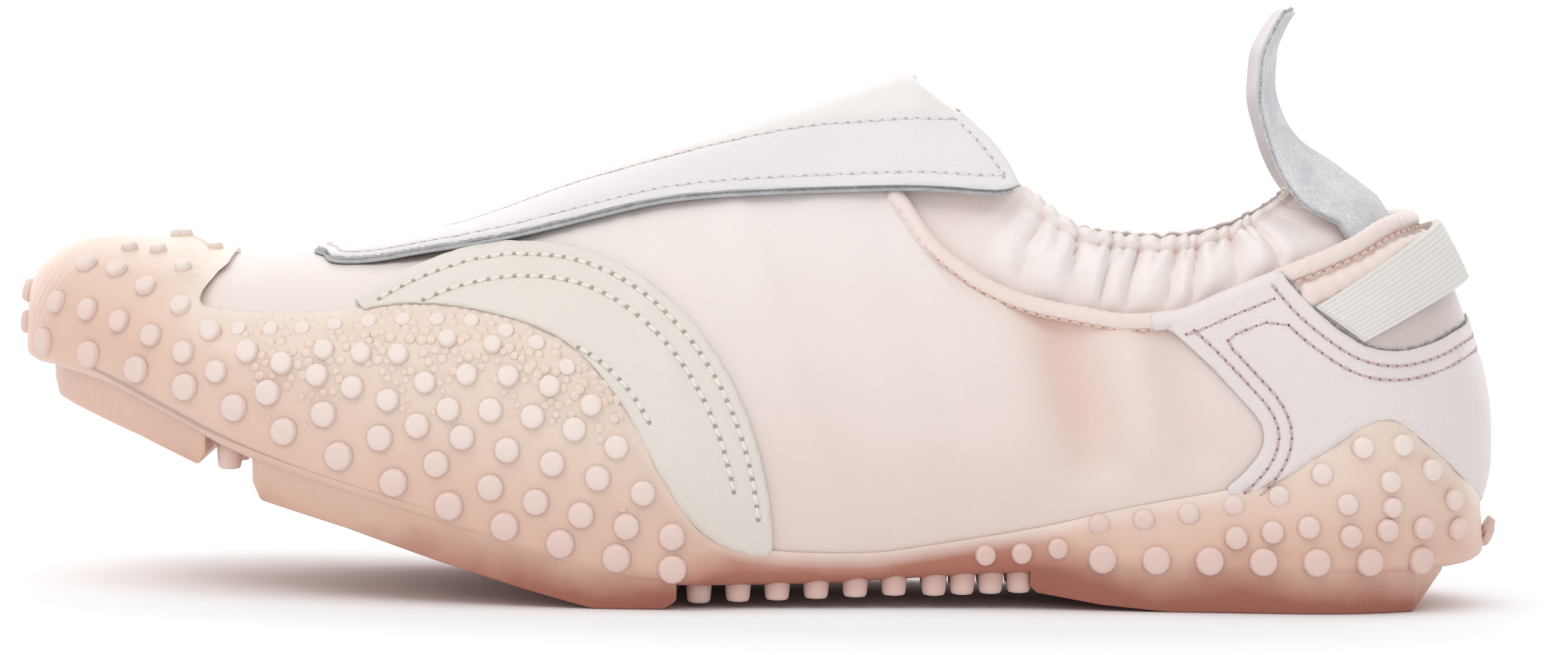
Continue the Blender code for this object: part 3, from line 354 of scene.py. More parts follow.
# The height of the rubber's edge at each x, with the toe cap's overhang left out.
CAP_SIDE = table(SidePoint, (-260.0, 75.0), (-212.0, 72.0))
CAP_CORNER = SidePoint(-203.0, 60.0)
wall_edge_height = Curve(
    CAP_SIDE + tuple(sorted(p for p in WALL_EDGE if p.x > CAP_CORNER.x and p.z < CAP_CORNER.z)),
    "x", "z")


OCTAVES = 3
OCTAVE_WAVES = 3
WAVE_SUM = 3.5  # brings the sum of the waves to about 1


def wobble(t, seed, scale):
    """Smooth irregular values between about -1 and 1, the same on every run."""
    rng = np.random.default_rng(seed)
    total = np.zeros_like(np.asarray(t, float))
    for k in range(OCTAVES):
        for _ in range(OCTAVE_WAVES):
            rate = rng.uniform(0.6, 1.4) * 2 ** k / scale
            total = total + np.sin(2 * math.pi * rate * t + rng.uniform(0, 6.28)) / 2 ** k
    return total / WAVE_SUM


# ---- mesh helpers
def grid_faces(rows, columns, closed=False):
    """Quads between the points of a grid; closed joins its last column to its first."""
    r, c = np.meshgrid(np.arange(rows - 1), np.arange(columns if closed else columns - 1),
                       indexing="ij")
    c_next = (c + 1) % columns
    corners = [r * columns + c, (r + 1) * columns + c, (r + 1) * columns + c_next, r * columns + c_next]
    return np.stack(corners, axis=-1).reshape(-1, 4)


def tube_faces(rows, columns):
    """Faces of a closed tube of rings, with a cap at each end."""
    ring = list(range(columns))
    last = [(rows - 1) * columns + i for i in ring]
    return grid_faces(rows, columns, closed=True).tolist() + [ring, last]


SEAM_GAP = 0.004  # points that are this near each other are one


def new_piece(name, points, faces, materials, merge=SEAM_GAP):
    """A smooth mesh object in metres from points in millimetres, its faces outwards."""
    bm = bmesh.new()
    verts = [bm.verts.new(p) for p in (np.asarray(points).reshape(-1, 3) * MM).tolist()]
    for face in faces:
        try:
            bm.faces.new([verts[i] for i in face])
        except ValueError:  # the same face twice, where a seam closes
            pass
    if merge:
        bmesh.ops.remove_doubles(bm, verts=bm.verts, dist=merge * MM)
    bmesh.ops.recalc_face_normals(bm, faces=bm.faces)
    mesh = bpy.data.meshes.new(name)
    bm.to_mesh(mesh)
    bm.free()
    mesh.shade_smooth()
    for material in materials:
        mesh.materials.append(material)
    return placed(name, mesh)


def placed(name, data):
    item = bpy.data.objects.new(name, data)
    bpy.context.scene.collection.objects.link(item)
    return item


@contextmanager
def editing(piece):
    bm = bmesh.new()
    bm.from_mesh(piece.data)
    yield bm
    bm.to_mesh(piece.data)
    bm.free()


def face_outwards(bm, outward):
    """Turns the faces one way, so that outward(face) adds up to more than nothing."""
    bmesh.ops.recalc_face_normals(bm, faces=bm.faces)
    if sum(outward(face) for face in bm.faces) < 0:
        bmesh.ops.reverse_faces(bm, faces=bm.faces)


def settle(piece, slot, *nodes):
    """The piece belongs to the shoe and stands for CAD nodes, which it hides; slot is not used."""
    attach(piece, "root")
    if nodes:
        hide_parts(*nodes)
    return piece


def apply_modifiers(piece):
    graph = bpy.context.evaluated_depsgraph_get()
    mesh = bpy.data.meshes.new_from_object(piece.evaluated_get(graph))
    piece.modifiers.clear()
    piece.data = mesh
    return piece


def combine(piece, other, operation):
    """A Boolean, applied at once.  The other object is used up."""
    step = piece.modifiers.new(operation.title(), "BOOLEAN")
    step.operation = operation
    step.object = other
    step.solver = "EXACT"
    step.material_mode = "TRANSFER"
    apply_modifiers(piece)
    bpy.data.objects.remove(other, do_unlink=True)


def round_edges(piece, width, sharper_than):
    """A small bevel on the edges that turn by more than an angle in degrees."""
    step = piece.modifiers.new("Rounding", "BEVEL")
    step.width = width * MM
    step.segments = 2
    step.limit_method = "ANGLE"
    step.angle_limit = math.radians(sharper_than)
    return apply_modifiers(piece)


def prism(name, outline, half_width, material):
    count = len(outline)
    near = np.insert(outline, 1, -half_width, axis=1)
    far = np.insert(outline, 1, half_width, axis=1)
    ring = np.arange(count)
    ahead = (ring + 1) % count
    sides = np.stack([ring, ahead, ahead + count, ring + count], axis=1)
    faces = [list(ring), list(ring + count)] + sides.tolist()
    return new_piece(name, np.vstack([near, far]), faces, [material])


def float_attribute(piece, name, values):
    """Numbers at the piece's vertices, which its finish reads."""
    layer = piece.data.attributes.new(name, "FLOAT", "POINT")
    layer.data.foreach_set("value", np.asarray(values, np.float32))


def vertex_points(piece):
    flat = np.empty(len(piece.data.vertices) * 3)
    piece.data.vertices.foreach_get("co", flat)
    return flat.reshape(-1, 3) / MM


BEAD_SIDES = 16
BEAD_TIP = 0.6  # a bead's rounded end, in radii: how far out its tip is,
BEAD_SHOULDER = 0.42  # and its shoulder,
BEAD_NARROWED = 0.72  # and how wide it still is there


def bead(name, path, up, radius, thickness, material):
    """A rolled edge along a path.  up is normal to what it lies on; radius may vary."""
    radius = np.broadcast_to(np.asarray(radius, float), len(path))
    tangent = unit(np.gradient(path, axis=0))
    across = unit(np.cross(tangent, up))
    angle = np.linspace(0, 2 * math.pi, BEAD_SIDES, endpoint=False)
    ring = (across[:, None] * np.cos(angle)[None, :, None]
            + up[:, None] * np.sin(angle)[None, :, None] * thickness)
    points = path[:, None] + ring * radius[:, None, None]
    ends = []
    for end, way in ((0, -1), (-1, 1)):
        out = tangent[end] * way * radius[end]
        shoulder = path[end] + out * BEAD_SHOULDER + ring[end] * radius[end] * BEAD_NARROWED
        tip = np.broadcast_to(path[end] + out * BEAD_TIP, (BEAD_SIDES, 3))
        ends.append(np.stack([shoulder, tip]))
    points = np.concatenate([ends[0][::-1], points, ends[1]])
    return new_piece(name, points, grid_faces(len(points), BEAD_SIDES, closed=True), [material])


# ---- patches that lie on the last
DOMAIN = np.array([380.0, 78.0])  # turns (u, v) into roughly even millimetres


def inside(polygon, points):
    """Which points lie inside the polygon (even-odd rule)."""
    x, y = points[:, 0], points[:, 1]
    result = np.zeros(len(points), bool)
    for (x0, y0), (x1, y1) in zip(polygon, np.roll(polygon, -1, axis=0)):
        crosses = (y0 > y) != (y1 > y)
        if y0 != y1:
            result ^= crosses & (x < (x1 - x0) * (y - y0) / (y1 - y0) + x0)
    return result


def nearest(points, targets):
    """The distance from each point to the nearest target, in 2-D or 3-D."""
    flat = 3 - points.shape[1]
    points, targets = (np.pad(some, ((0, 0), (0, flat))) for some in (points, targets))
    tree = kdtree.KDTree(len(targets))
    for i, target in enumerate(targets):
        tree.insert(target, i)
    tree.balance()
    return np.array([tree.find(p)[2] for p in points])


SEAM_DEPTH = 0.30  # how far a row of stitches pulls a layer in
SEAM_WIDTH = 0.75
OUTLINE_STEP = 0.9
OUTLINE_ROWS = (0.35, 0.8, 1.5) # rows of points that follow a patch's outline
GRID_INSET = 2.0  # from there on its even grid starts
DISTANCE_STEP = 0.3  # steps along lines that distances are taken to
Cut = namedtuple("Cut", "spacing rounding edge_share")  # a layer's mesh and how its edge rounds
LEATHER_CUT = Cut(1.0, 0.6, 0.5)
BORDER_CUT = Cut(1.0, 0.7, 0.45)
FLAP_CUT = Cut(1.6, 2.0, 0.4)
PADDED_CUT = Cut(1.6, 3.0, 0.2)


def patch_loop(outline):
    """The outline in millimetres with even steps, its inside to the left."""
    loop = even_line(np.vstack([outline, outline[:1]]) * DOMAIN, OUTLINE_STEP)[:-1]
    ahead = np.roll(loop, -1, axis=0)
    turning = np.sum(loop[:, 0] * ahead[:, 1] - loop[:, 1] * ahead[:, 0])
    return loop[::-1] if turning < 0 else loop


def patch_points(loop, spacing):
    """The loop, rows of points that follow it, and a staggered grid inside them."""
    closed = np.vstack([loop[-1:], loop, loop[:1]])
    points = [loop]
    for depth in OUTLINE_ROWS:
        moved = offset_line(closed, depth)[1:-1]
        points.append(moved[inside(loop, moved) & (nearest(moved, loop) > depth * 0.9)])
    low, high = loop.min(axis=0), loop.max(axis=0)
    x, y = np.meshgrid(np.arange(low[0], high[0], spacing), np.arange(low[1], high[1], spacing))
    x = x + (np.arange(len(x)) % 2)[:, None] * spacing / 2
    grid = np.stack([x.ravel(), y.ravel()], axis=1)
    grid = grid[inside(loop, grid)]
    points.append(grid[nearest(grid, loop) > GRID_INSET])
    return np.vstack(points)


def two_sheets(faces, count):
    """Faces of a sheet, of a copy of it underneath and of the edge between them."""
    steps = dict.fromkeys((a, b) for face in faces for a, b in zip(face, face[1:] + face[:1]))
    edge = [(a, b) for a, b in steps if (b, a) not in steps]
    under = [[i + count for i in reversed(face)] for face in faces]
    return faces + under + [[b, a, a + count, b + count] for a, b in edge]


def at_points(value, points):
    """A plain number, or a function's values at the points."""
    return value(points) if callable(value) else np.full(len(points), value)


def patch(name, outline, lift, wall, materials, cut, seams=()):
    """A layer on the last with a rounded, cut edge.

    outline is a closed loop of (u, v); lift is the height of its underside.  The first
    material is the face, the second the cut edge and the underside.  The layer is pulled
    in along its seams, which are lines of points.
    """
    loop = patch_loop(outline)
    count = len(loop)
    edges = [(i, (i + 1) % count) for i in range(count)]
    flat, _, faces, *_ = geometry.delaunay_2d_cdt(
        [Vector(p) for p in patch_points(loop, cut.spacing).tolist()], edges, [], 1, 1e-4)
    faces = [list(face) for face in faces]
    where = np.array([tuple(p) for p in flat])
    u, v = (where / DOMAIN).T
    base, normal = skin_point(u, v), normals(u, v)
    rim = skin_point(*(loop / DOMAIN).T)
    distance = nearest(base, even_line(np.vstack([rim, rim[:1]]), DISTANCE_STEP))
    under = at_points(lift, base)
    share = np.clip(distance / cut.rounding, 0.0, 1.0)
    rounded = cut.edge_share + (1 - cut.edge_share) * np.sqrt(1 - (1 - share) ** 2)
    thick = at_points(wall, base) * rounded
    if seams:
        lines = np.vstack([even_line(seam, DISTANCE_STEP) for seam in seams])
        away = nearest(base + normal * (under + thick)[:, None], lines)
        thick = thick - SEAM_DEPTH * bell(away, 0, SEAM_WIDTH)
    top = base + normal * (under + thick)[:, None]
    bottom = base + normal * under[:, None]
    piece = new_piece(name, np.vstack([top, bottom]), two_sheets(faces, len(top)), materials, merge=0)
    index = np.ones(len(piece.data.polygons), np.int32)
    index[:len(faces)] = 0
    piece.data.polygons.foreach_set("material_index", index)
    float_attribute(piece, "edge_distance", np.concatenate([distance, distance]))
    surface_map(piece, np.concatenate([where, where]))
    piece.data.set_sharp_from_angle(angle=math.radians(50))
    return piece


def surface_map(piece, where):
    """A UV map in millimetres along the surface, for weave and grain."""
    layer = piece.data.uv_layers.new(name="surface")
    loops = np.empty(len(piece.data.loops), np.int32)
    piece.data.loops.foreach_get("vertex_index", loops)
    layer.data.foreach_set("uv", np.asarray(where, np.float32)[loops].ravel())


def located(x, z):
    return np.stack(locate(x, z), axis=1)


def laid(u, v, lift):
    """Places on the last at a distance from it, and its normals there."""
    return skin(u, v, lift), normals(u, v)


def side_path(line, side, lift):
    u, v = locate(*line.T)
    return laid(u, side * v, lift)


# ---- repeated details, Geometry Nodes
def add(tree, kind, inputs, **settings):
    """A node.  An input that is a socket is linked, any other is a value."""
    node = tree.nodes.new(kind)
    for label, value in settings.items():
        setattr(node, label, value)
    for label, value in inputs.items():
        if isinstance(value, bpy.types.NodeSocket):
            tree.links.new(value, node.inputs[label])
        else:
            node.inputs[label].default_value = value
    return node


def carried_vector(tree, name):
    return add(tree, "GeometryNodeInputNamedAttribute", {"Name": name}, data_type="FLOAT_VECTOR"
               ).outputs["Attribute"]


def carried_turn(tree):
    """The rotation that lays X along and Z up."""
    along = add(tree, "FunctionNodeAlignRotationToVector",
                {"Vector": carried_vector(tree, "along")}, axis="X", pivot_axis="AUTO")
    return add(tree, "FunctionNodeAlignRotationToVector",
               {"Vector": carried_vector(tree, "up"), "Rotation": along.outputs["Rotation"]},
               axis="Z", pivot_axis="X").outputs["Rotation"]


def scatter_tree(name, shape):
    """Puts a shape on every point, turned by the attributes along and up, scaled by size."""
    tree = bpy.data.node_groups.new(name, "GeometryNodeTree")
    face = tree.interface
    face.new_socket("Geometry", in_out="INPUT", socket_type="NodeSocketGeometry")
    for label in ("Length", "Width", "Height"):
        face.new_socket(label, in_out="INPUT", socket_type="NodeSocketFloat")
    face.new_socket("Finish", in_out="INPUT", socket_type="NodeSocketMaterial")
    face.new_socket("Geometry", in_out="OUTPUT", socket_type="NodeSocketGeometry")
    given = tree.nodes.new("NodeGroupInput").outputs
    size = add(tree, "ShaderNodeCombineXYZ",
               {"X": given["Length"], "Y": given["Width"], "Z": given["Height"]})
    sized = add(tree, "GeometryNodeTransform",
                {"Geometry": shape(tree), "Scale": size.outputs["Vector"]})
    place = add(tree, "GeometryNodeInstanceOnPoints",
                {"Points": given["Geometry"], "Instance": sized.outputs["Geometry"],
                 "Rotation": carried_turn(tree), "Scale": carried_vector(tree, "size")})
    real = add(tree, "GeometryNodeRealizeInstances", {"Geometry": place.outputs["Instances"]})
    smooth = add(tree, "GeometryNodeSetShadeSmooth", {"Geometry": real.outputs["Geometry"]})
    paint = add(tree, "GeometryNodeSetMaterial",
                {"Geometry": smooth.outputs["Geometry"], "Material": given["Finish"]})
    add(tree, "NodeGroupOutput", {"Geometry": paint.outputs["Geometry"]})
    return tree


def thread_shape(tree):
    """A grain-shaped stitch of unit size."""
    return add(tree, "GeometryNodeMeshUVSphere", {"Segments": 8, "Rings": 5, "Radius": 0.5}
               ).outputs["Mesh"]


def fibre_shape(tree):
    """A thin three-sided hair of unit size, which stands along Z."""
    return add(tree, "GeometryNodeMeshCone",
               {"Vertices": 3, "Radius Bottom": 0.5, "Radius Top": 0.1, "Depth": 1.0} ).outputs["Mesh"]


def object_shape(shape):
    """Takes a scatter tree's shape from a mesh object."""
    def build(tree):
        return add(tree, "GeometryNodeObjectInfo", {"Object": shape}).outputs["Geometry"]
    return build


def scatter(name, tree, points, along, up, size, sizes_mm, material):
    """A mesh of a tree's shapes at points in millimetres."""
    mesh = bpy.data.meshes.new(name)
    mesh.from_pydata((np.asarray(points) * MM).tolist(), [], [])
    size = size if size.ndim == 2 else size[:, None].repeat(3, axis=1)
    for label, values in (("along", along), ("up", up), ("size", size)):
        layer = mesh.attributes.new(label, "FLOAT_VECTOR", "POINT")
        layer.data.foreach_set("vector", np.asarray(values, np.float32).ravel())
    piece = placed(name, mesh)
    step = piece.modifiers.new("Scatter", "NODES")
    step.node_group = tree
    inputs = {item.name: item.identifier for item in tree.interface.items_tree
              if item.in_out == "INPUT"}
    for label, value in zip(("Length", "Width", "Height"), sizes_mm):
        step[inputs[label]] = value * MM
    step[inputs["Finish"]] = material
    apply_modifiers(piece)
    piece.data.materials.clear()
    piece.data.materials.append(material)
    return piece


THREAD_TREE = scatter_tree("stitch_row", thread_shape)
FIBRE_TREE = scatter_tree("raw_fibres", fibre_shape)


def stitch_points(path, normal, pitch):
    """Places, directions and normals of stitches along a line on the surface."""
    both = even_line(np.hstack([path, normal]), pitch)
    at, up = both[:, :3], both[:, 3:]
    return (at[1:] + at[:-1]) / 2, unit(at[1:] - at[:-1]), unit(up[1:] + up[:-1])


Stitch = namedtuple("Stitch", "pitch length thread")
HOLE_SHARE = 1.0  # a needle hole's size beside its thread's
HOLE_DEPTH = 0.45
THREAD_HEIGHT = 0.8  # a thread's height beside its width
THREAD_TILT = 0.03  # how unevenly the stitches lie
THREAD_SLANT = 0.10  # how far they turn from their row
NO_SEAT = (0.31, 0.2, 0.93)  # a direction that no hole's seat has


def needle_holes(name, rows, stitch, finish, slot):
    # dark flat discs at the stitches: painted shade in the needle holes
    both = np.vstack([even_line(np.hstack([path, normal]), stitch.pitch) for path, normal in rows])
    points, up = both[:, :3], both[:, 3:]
    size = stitch.thread * HOLE_SHARE
    holes = scatter(name, THREAD_TREE, points, np.cross(up, NO_SEAT), up, np.ones(len(points)),
                    (size, size, size * HOLE_DEPTH), finish)
    return settle(holes, slot)


def stitching(name, rows, stitch, finish, slot):
    """All the stitches of one thread: rows is a list of (path, normals)."""
    thread_colour, hole_shade = finish
    needle_holes(name + "_holes", rows, stitch, hole_shade, slot)
    parts = [stitch_points(path, normal, stitch.pitch) for path, normal in rows]
    points, along, up = (np.vstack([p[k] for p in parts]) for k in range(3))
    rng = np.random.default_rng(len(points))
    up = up + rng.normal(0, THREAD_TILT, up.shape)
    slant = np.cross(up, along) * rng.normal(THREAD_SLANT, THREAD_TILT, (len(points), 1))
    size = rng.uniform(0.95, 1.05, len(points))
    sizes = (stitch.length, stitch.thread, stitch.thread * THREAD_HEIGHT)
    piece = scatter(name, THREAD_TREE, points, along + slant, up, size, sizes, thread_colour)
    return settle(piece, slot)


def fuzz(name, points, directions, length, material, slot, seed):
    rng = np.random.default_rng(seed)
    up = unit(directions + rng.normal(0, FIBRE_SPREAD, directions.shape))
    along = unit(np.cross(up, rng.normal(0, 1, up.shape)))
    size = rng.uniform(0.5, 1.2, len(points))
    piece = scatter(name, FIBRE_TREE, points, along, up, size,
                    (FIBRE_WIDTH, FIBRE_WIDTH, length), material)
    return settle(piece, slot)


# ---- finishes
def new_finish(name, colour, roughness, **sockets):
    """A plain material, its node tree and its shader."""
    material = bpy.data.materials.new(name)
    material.use_nodes = True
    shader = material.node_tree.nodes["Principled BSDF"]
    shader.inputs["Base Color"].default_value = (*colour, 1.0)
    shader.inputs["Roughness"].default_value = roughness
    for label, value in sockets.items():
        shader.inputs[label.replace("_", " ")].default_value = value
    return material, material.node_tree, shader


def dress(shader, colour, normal):
    shader.id_data.links.new(colour, shader.inputs["Base Color"])
    shader.id_data.links.new(normal, shader.inputs["Normal"])


def carried(tree, name):
    """A number that the piece's mesh carries at each point."""
    return add(tree, "ShaderNodeAttribute", {}, attribute_name=name).outputs["Fac"]


def joined(operation, a, b):
    return add(a.id_data, "ShaderNodeMath", {0: a, 1: b}, operation=operation).outputs["Value"]


METRES_TO_MM = (1000.0,) * 3


def object_place(tree):
    return add(tree, "ShaderNodeTexCoord", {}).outputs["Object"]


def surface_place(tree):
    """Millimetres along the surface."""
    return add(tree, "ShaderNodeUVMap", {}, uv_map="surface").outputs["UV"]


def stretched(place, scale):
    return add(place.id_data, "ShaderNodeMapping", {"Vector": place, "Scale": scale}).outputs["Vector"]


def noise(place, scale, detail=2.0, roughness=0.5):
    return add(place.id_data, "ShaderNodeTexNoise", {"Vector": place, "Scale": scale, "Detail": detail,
                                                "Roughness": roughness}).outputs["Fac"]


def value_ramp(factor, low, high, low_value=0.0, high_value=1.0):
    """low_value up to low, high_value from high on, and even steps between them."""
    return add(factor.id_data, "ShaderNodeMapRange",
               {"Value": factor, "From Min": low, "From Max": high, "To Min": low_value,
                "To Max": high_value}).outputs["Result"]


def tint(factor, colour_a, colour_b):
    """Colour a where the factor is 0 and colour b where it is 1."""
    tree = factor.id_data
    mix = add(tree, "ShaderNodeMix", {"Factor": factor}, data_type="RGBA")
    for socket, value in zip(mix.inputs[6:8], (colour_a, colour_b)):
        if isinstance(value, bpy.types.NodeSocket):
            tree.links.new(value, socket)
        else:
            socket.default_value = (*value, 1.0)
    return mix.outputs[2]


def bump(height, depth, strength, normal=None):
    """Relief of a depth in metres, on top of other relief."""
    inputs = {"Height": height, "Distance": depth, "Strength": strength}
    if normal is not None:
        inputs["Normal"] = normal
    return add(height.id_data, "ShaderNodeBump", inputs).outputs["Normal"]


def bands(place, scale, distortion, direction="DIAGONAL"):
    return add(place.id_data, "ShaderNodeTexWave",
               {"Vector": place, "Scale": scale, "Distortion": distortion},
               bands_direction=direction).outputs["Fac"]


def height_of(place):
    axes = add(place.id_data, "ShaderNodeSeparateXYZ", {"Vector": place})
    return joined("MULTIPLY", axes.outputs["Z"], 1000.0)


TWILL_SCALE = 1.05  # wave scale on millimetres, for a 0.6 mm twill
Puckers = namedtuple("Puckers", "scale strength")
SMOOTH = Puckers(120.0, 0.22)
GATHERED = Puckers(430.0, 0.6)


def satin_finish(name, colour, low, deep, on_surface=True, sheen=0.25, puckers=SMOOTH):
    """Silky twill: fine diagonal ribs and a soft sheen, with painted shade: warmer and darker low down,
    in its folds and beside its seams.
    """
    material, tree, shader = new_finish(
        name, colour, 0.40, Sheen_Weight=sheen, Sheen_Roughness=0.35, Specular_IOR_Level=0.45,
        Anisotropic=0.35, Subsurface_Weight=0.15, Subsurface_Radius=(1.0, 0.6, 0.5),
        Subsurface_Scale=0.002)
    place = object_place(tree)
    weave = surface_place(tree) if on_surface else stretched(place, METRES_TO_MM)
    twill = bands(weave, TWILL_SCALE, 0.4)
    slub = noise(stretched(weave, (0.25, 2.2, 1.0)), 1.0)
    cloudy = value_ramp(noise(place, 22.0), 0.35, 0.65, -9.0, 9.0)
    level = joined("ADD", height_of(place), cloudy)
    # painted shade: the low colour towards the bottom, the satin's own colour high up
    tone = tint(value_ramp(level, 14.0, 74.0), low, colour)
    # painted shade in folds, creases and beside seams, from the fold attribute
    folded = tint(carried(tree, "fold"), tone, deep)
    ribbed = tint(value_ramp(twill, 0.0, 1.0, 0.0, 0.10), folded, deep)
    threads = bump(twill, 0.00004, 0.5)
    slubs = bump(slub, 0.00006, 0.35, threads)
    dress(shader, ribbed, bump(noise(place, puckers.scale), 0.0004, puckers.strength, slubs))
    return material


def leather_finish(name, colour, deep):
    """Smooth grained leather, a little darker in patches."""
    material, tree, shader = new_finish(name, colour, 0.50, Specular_IOR_Level=0.42,
                                        Coat_Weight=0.06, Coat_Roughness=0.35)
    place = object_place(tree)
    cells = add(tree, "ShaderNodeTexVoronoi", {"Vector": place, "Scale": 900.0},
                feature="DISTANCE_TO_EDGE").outputs["Distance"]
    cloudy = value_ramp(noise(place, 45.0, 3.0), 0.3, 0.7, 0.0, 0.55)
    rough = value_ramp(noise(place, 260.0), 0.3, 0.7, 0.44, 0.58)
    tree.links.new(rough, shader.inputs["Roughness"])
    pores = bump(value_ramp(cells, 0.0, 0.22), 0.00005, 0.55)
    fine = bump(noise(place, 2600.0, 3.0), 0.00005, 0.4, pores)
    dress(shader, tint(cloudy, colour, deep), bump(noise(place, 70.0), 0.0008, 0.12, fine))
    return material


def fibrous_finish(name, colour, deep, scale=1400.0):
    """Raw edges, suede and fuzz: matt, streaky and uneven."""
    material, tree, shader = new_finish(name, colour, 0.95, Specular_IOR_Level=0.15,
                                        Sheen_Weight=0.5, Sheen_Roughness=0.6)
    place = object_place(tree)
    nap = noise(place, scale, 4.0, 0.8)
    patchy = noise(place, 160.0, 3.0, 0.6)
    tone = tint(value_ramp(patchy, 0.35, 0.65, 0.0, 0.6), colour, deep)
    speckled = tint(value_ramp(nap, 0.42, 0.62, 0.0, 0.6), tone, deep)
    dress(shader, speckled, bump(nap, 0.00035, 1.0))
    return material


def thread_finish(name, colour, deep):
    material, tree, shader = new_finish(name, colour, 0.6, Sheen_Weight=0.3, Specular_IOR_Level=0.3)
    ply = bands(object_place(tree), 700.0, 1.0)
    dress(shader, tint(value_ramp(ply, 0.0, 1.0, 0.0, 0.5), colour, deep), bump(ply, 0.00006, 0.6))
    return material


def webbing_finish(name, colour, deep):
    """White elastic: its ribs are modelled, and this gives the knit across them."""
    material, tree, shader = new_finish(name, colour, 0.8, Sheen_Weight=0.3, Specular_IOR_Level=0.25)
    weave = surface_place(tree)
    knit = bands(weave, 0.75, 0.6, "X")
    fine = noise(weave, 2.5, 3.0)
    tone = tint(value_ramp(knit, 0.0, 1.0, 0.0, 0.35), colour, deep)
    dress(shader, tint(value_ramp(fine, 0.4, 0.7, 0.0, 0.3), tone, deep),
          bump(fine, 0.0001, 0.5, bump(knit, 0.00012, 0.7)))
    return material


# the low rose is partly the thick rubber's own deeper colour and partly painted shade near the floor
RUBBER_DEEP_AND_SHADED = (0.44, 0.165, 0.115)  # deep rose, at the floor
RUBBER_MIDDLE = (0.74, 0.49, 0.385)  # peach
RUBBER_HIGH = (0.83, 0.665, 0.565)  # pale beige, where it is thin
RUBBER_EDGE = (0.87, 0.75, 0.685)  # its feathered top edge
FLOW_CENTRE = (212.0, 0.0, -42.0)  # the moulding lines run round this place in the toe
FLOW_SCALE = 0.28
# the nubs' matte ends: their own paler colour, partly a painted highlight; lower down, darker with
# painted shade
NUB_ENDS_LOW_SHADED = (0.77, 0.56, 0.50)  # the nubs' ends, near the floor
NUB_ENDS_PALE_AND_LIT = (0.87, 0.755, 0.70)


def ribbed_relief(place):
    """The treads' sides: upright ribs that lean with the rubber."""
    lines = bands(stretched(place, (1000.0, 0.0, 260.0)), 0.36, 0.3, "X")
    return bump(lines, 0.00014, 0.6)


def moulded_relief(place):
    """Blisters near the top edge, and the moulding's flow lines over the toes."""
    tree = place.id_data
    cells = add(tree, "ShaderNodeTexVoronoi", {"Vector": place, "Scale": 560.0},
                feature="SMOOTH_F1").outputs["Distance"]
    domes = joined("MULTIPLY", value_ramp(cells, 0.0, 0.7, 1.0, 0.0), carried(tree, "pebbles"))
    centre = add(tree, "ShaderNodeMapping", {"Vector": place, "Location": FLOW_CENTRE,
                                             "Scale": METRES_TO_MM}).outputs["Vector"]
    rings = add(tree, "ShaderNodeTexWave",
                {"Vector": centre, "Scale": FLOW_SCALE, "Distortion": 1.6, "Detail": 1.0,
                 "Detail Scale": 0.3}, wave_type="RINGS", rings_direction="Y").outputs["Fac"]
    flowing = joined("MULTIPLY", rings, carried(tree, "flow"))
    return bump(flowing, 0.00012, 0.5, bump(domes, 0.0006, 0.6))


def rubber_finish(name, relief, clouded=0.45):
    """Cloudy, translucent rubber, deeper in colour where it is thick and low, with painted shade low
    down.
    """
    material, tree, shader = new_finish(
        name, RUBBER_MIDDLE, 0.40, Specular_IOR_Level=0.42, Subsurface_Weight=clouded,
        Subsurface_Radius=(1.0, 0.72, 0.62), Subsurface_Scale=0.003, Coat_Weight=0.10,
        Coat_Roughness=0.30)
    place = object_place(tree)
    edge = carried(tree, "edge_distance")
    cloudy = value_ramp(noise(place, 48.0, 3.0), 0.3, 0.7, -3.0, 3.0)
    level = joined("ADD", carried(tree, "level"), cloudy)
    low = tint(value_ramp(level, -1.5, 7.2), RUBBER_DEEP_AND_SHADED, RUBBER_MIDDLE)
    high = tint(value_ramp(level, 7.0, 32.0), low, RUBBER_HIGH)
    thin = tint(value_ramp(edge, 3.0, 0.0, 0.0, 0.8), high, RUBBER_EDGE)
    if clouded:
        tree.links.new(value_ramp(edge, 1.0, 10.0, 0.0, clouded), shader.inputs["Subsurface Weight"])
    dress(shader, thin, bump(noise(place, 900.0, 3.0), 0.00006, 0.35, relief(place)))
    return material


def nub_finish(name):
    """The nubs' sides are like the rubber round them, with painted light at their foot; their ends are
    chalky, partly a painted highlight.
    """
    material, tree, shader = new_finish(
        name, RUBBER_MIDDLE, 0.55, Specular_IOR_Level=0.3, Subsurface_Weight=0.15,
        Subsurface_Radius=(1.0, 0.8, 0.7), Subsurface_Scale=0.001)
    height = carried(tree, "level")
    low = tint(value_ramp(height, -1.0, 9.0), RUBBER_DEEP_AND_SHADED, RUBBER_MIDDLE)
    side = tint(value_ramp(height, 8.0, 32.0), low, RUBBER_HIGH)
    pale_lit_ends = tint(value_ramp(height, 2.0, 32.0), NUB_ENDS_LOW_SHADED, NUB_ENDS_PALE_AND_LIT)
    # painted light: the foot keeps most of the ends' pale colour, over the shade where the nub meets
    # the wall
    dress(shader, tint(value_ramp(carried(tree, "tip"), 0.0, 0.6, 0.75), side, pale_lit_ends),
          bump(noise(object_place(tree), 1200.0, 3.0), 0.00006, 0.4))
    return material


def plain_fabric_finish(name, colour, deep):
    """Lining: a fine plain weave."""
    material, tree, shader = new_finish(name, colour, 0.85, Sheen_Weight=0.3, Specular_IOR_Level=0.25)
    place = stretched(object_place(tree), METRES_TO_MM)
    warp = noise(stretched(place, (1.0, 3.0, 3.0)), 0.9)
    weft = noise(stretched(place, (3.0, 1.0, 1.0)), 0.9)
    woven = value_ramp(joined("ADD", warp, weft), 0.8, 1.2)
    dress(shader, tint(woven, deep, colour), bump(woven, 0.0001, 0.6))
    return material
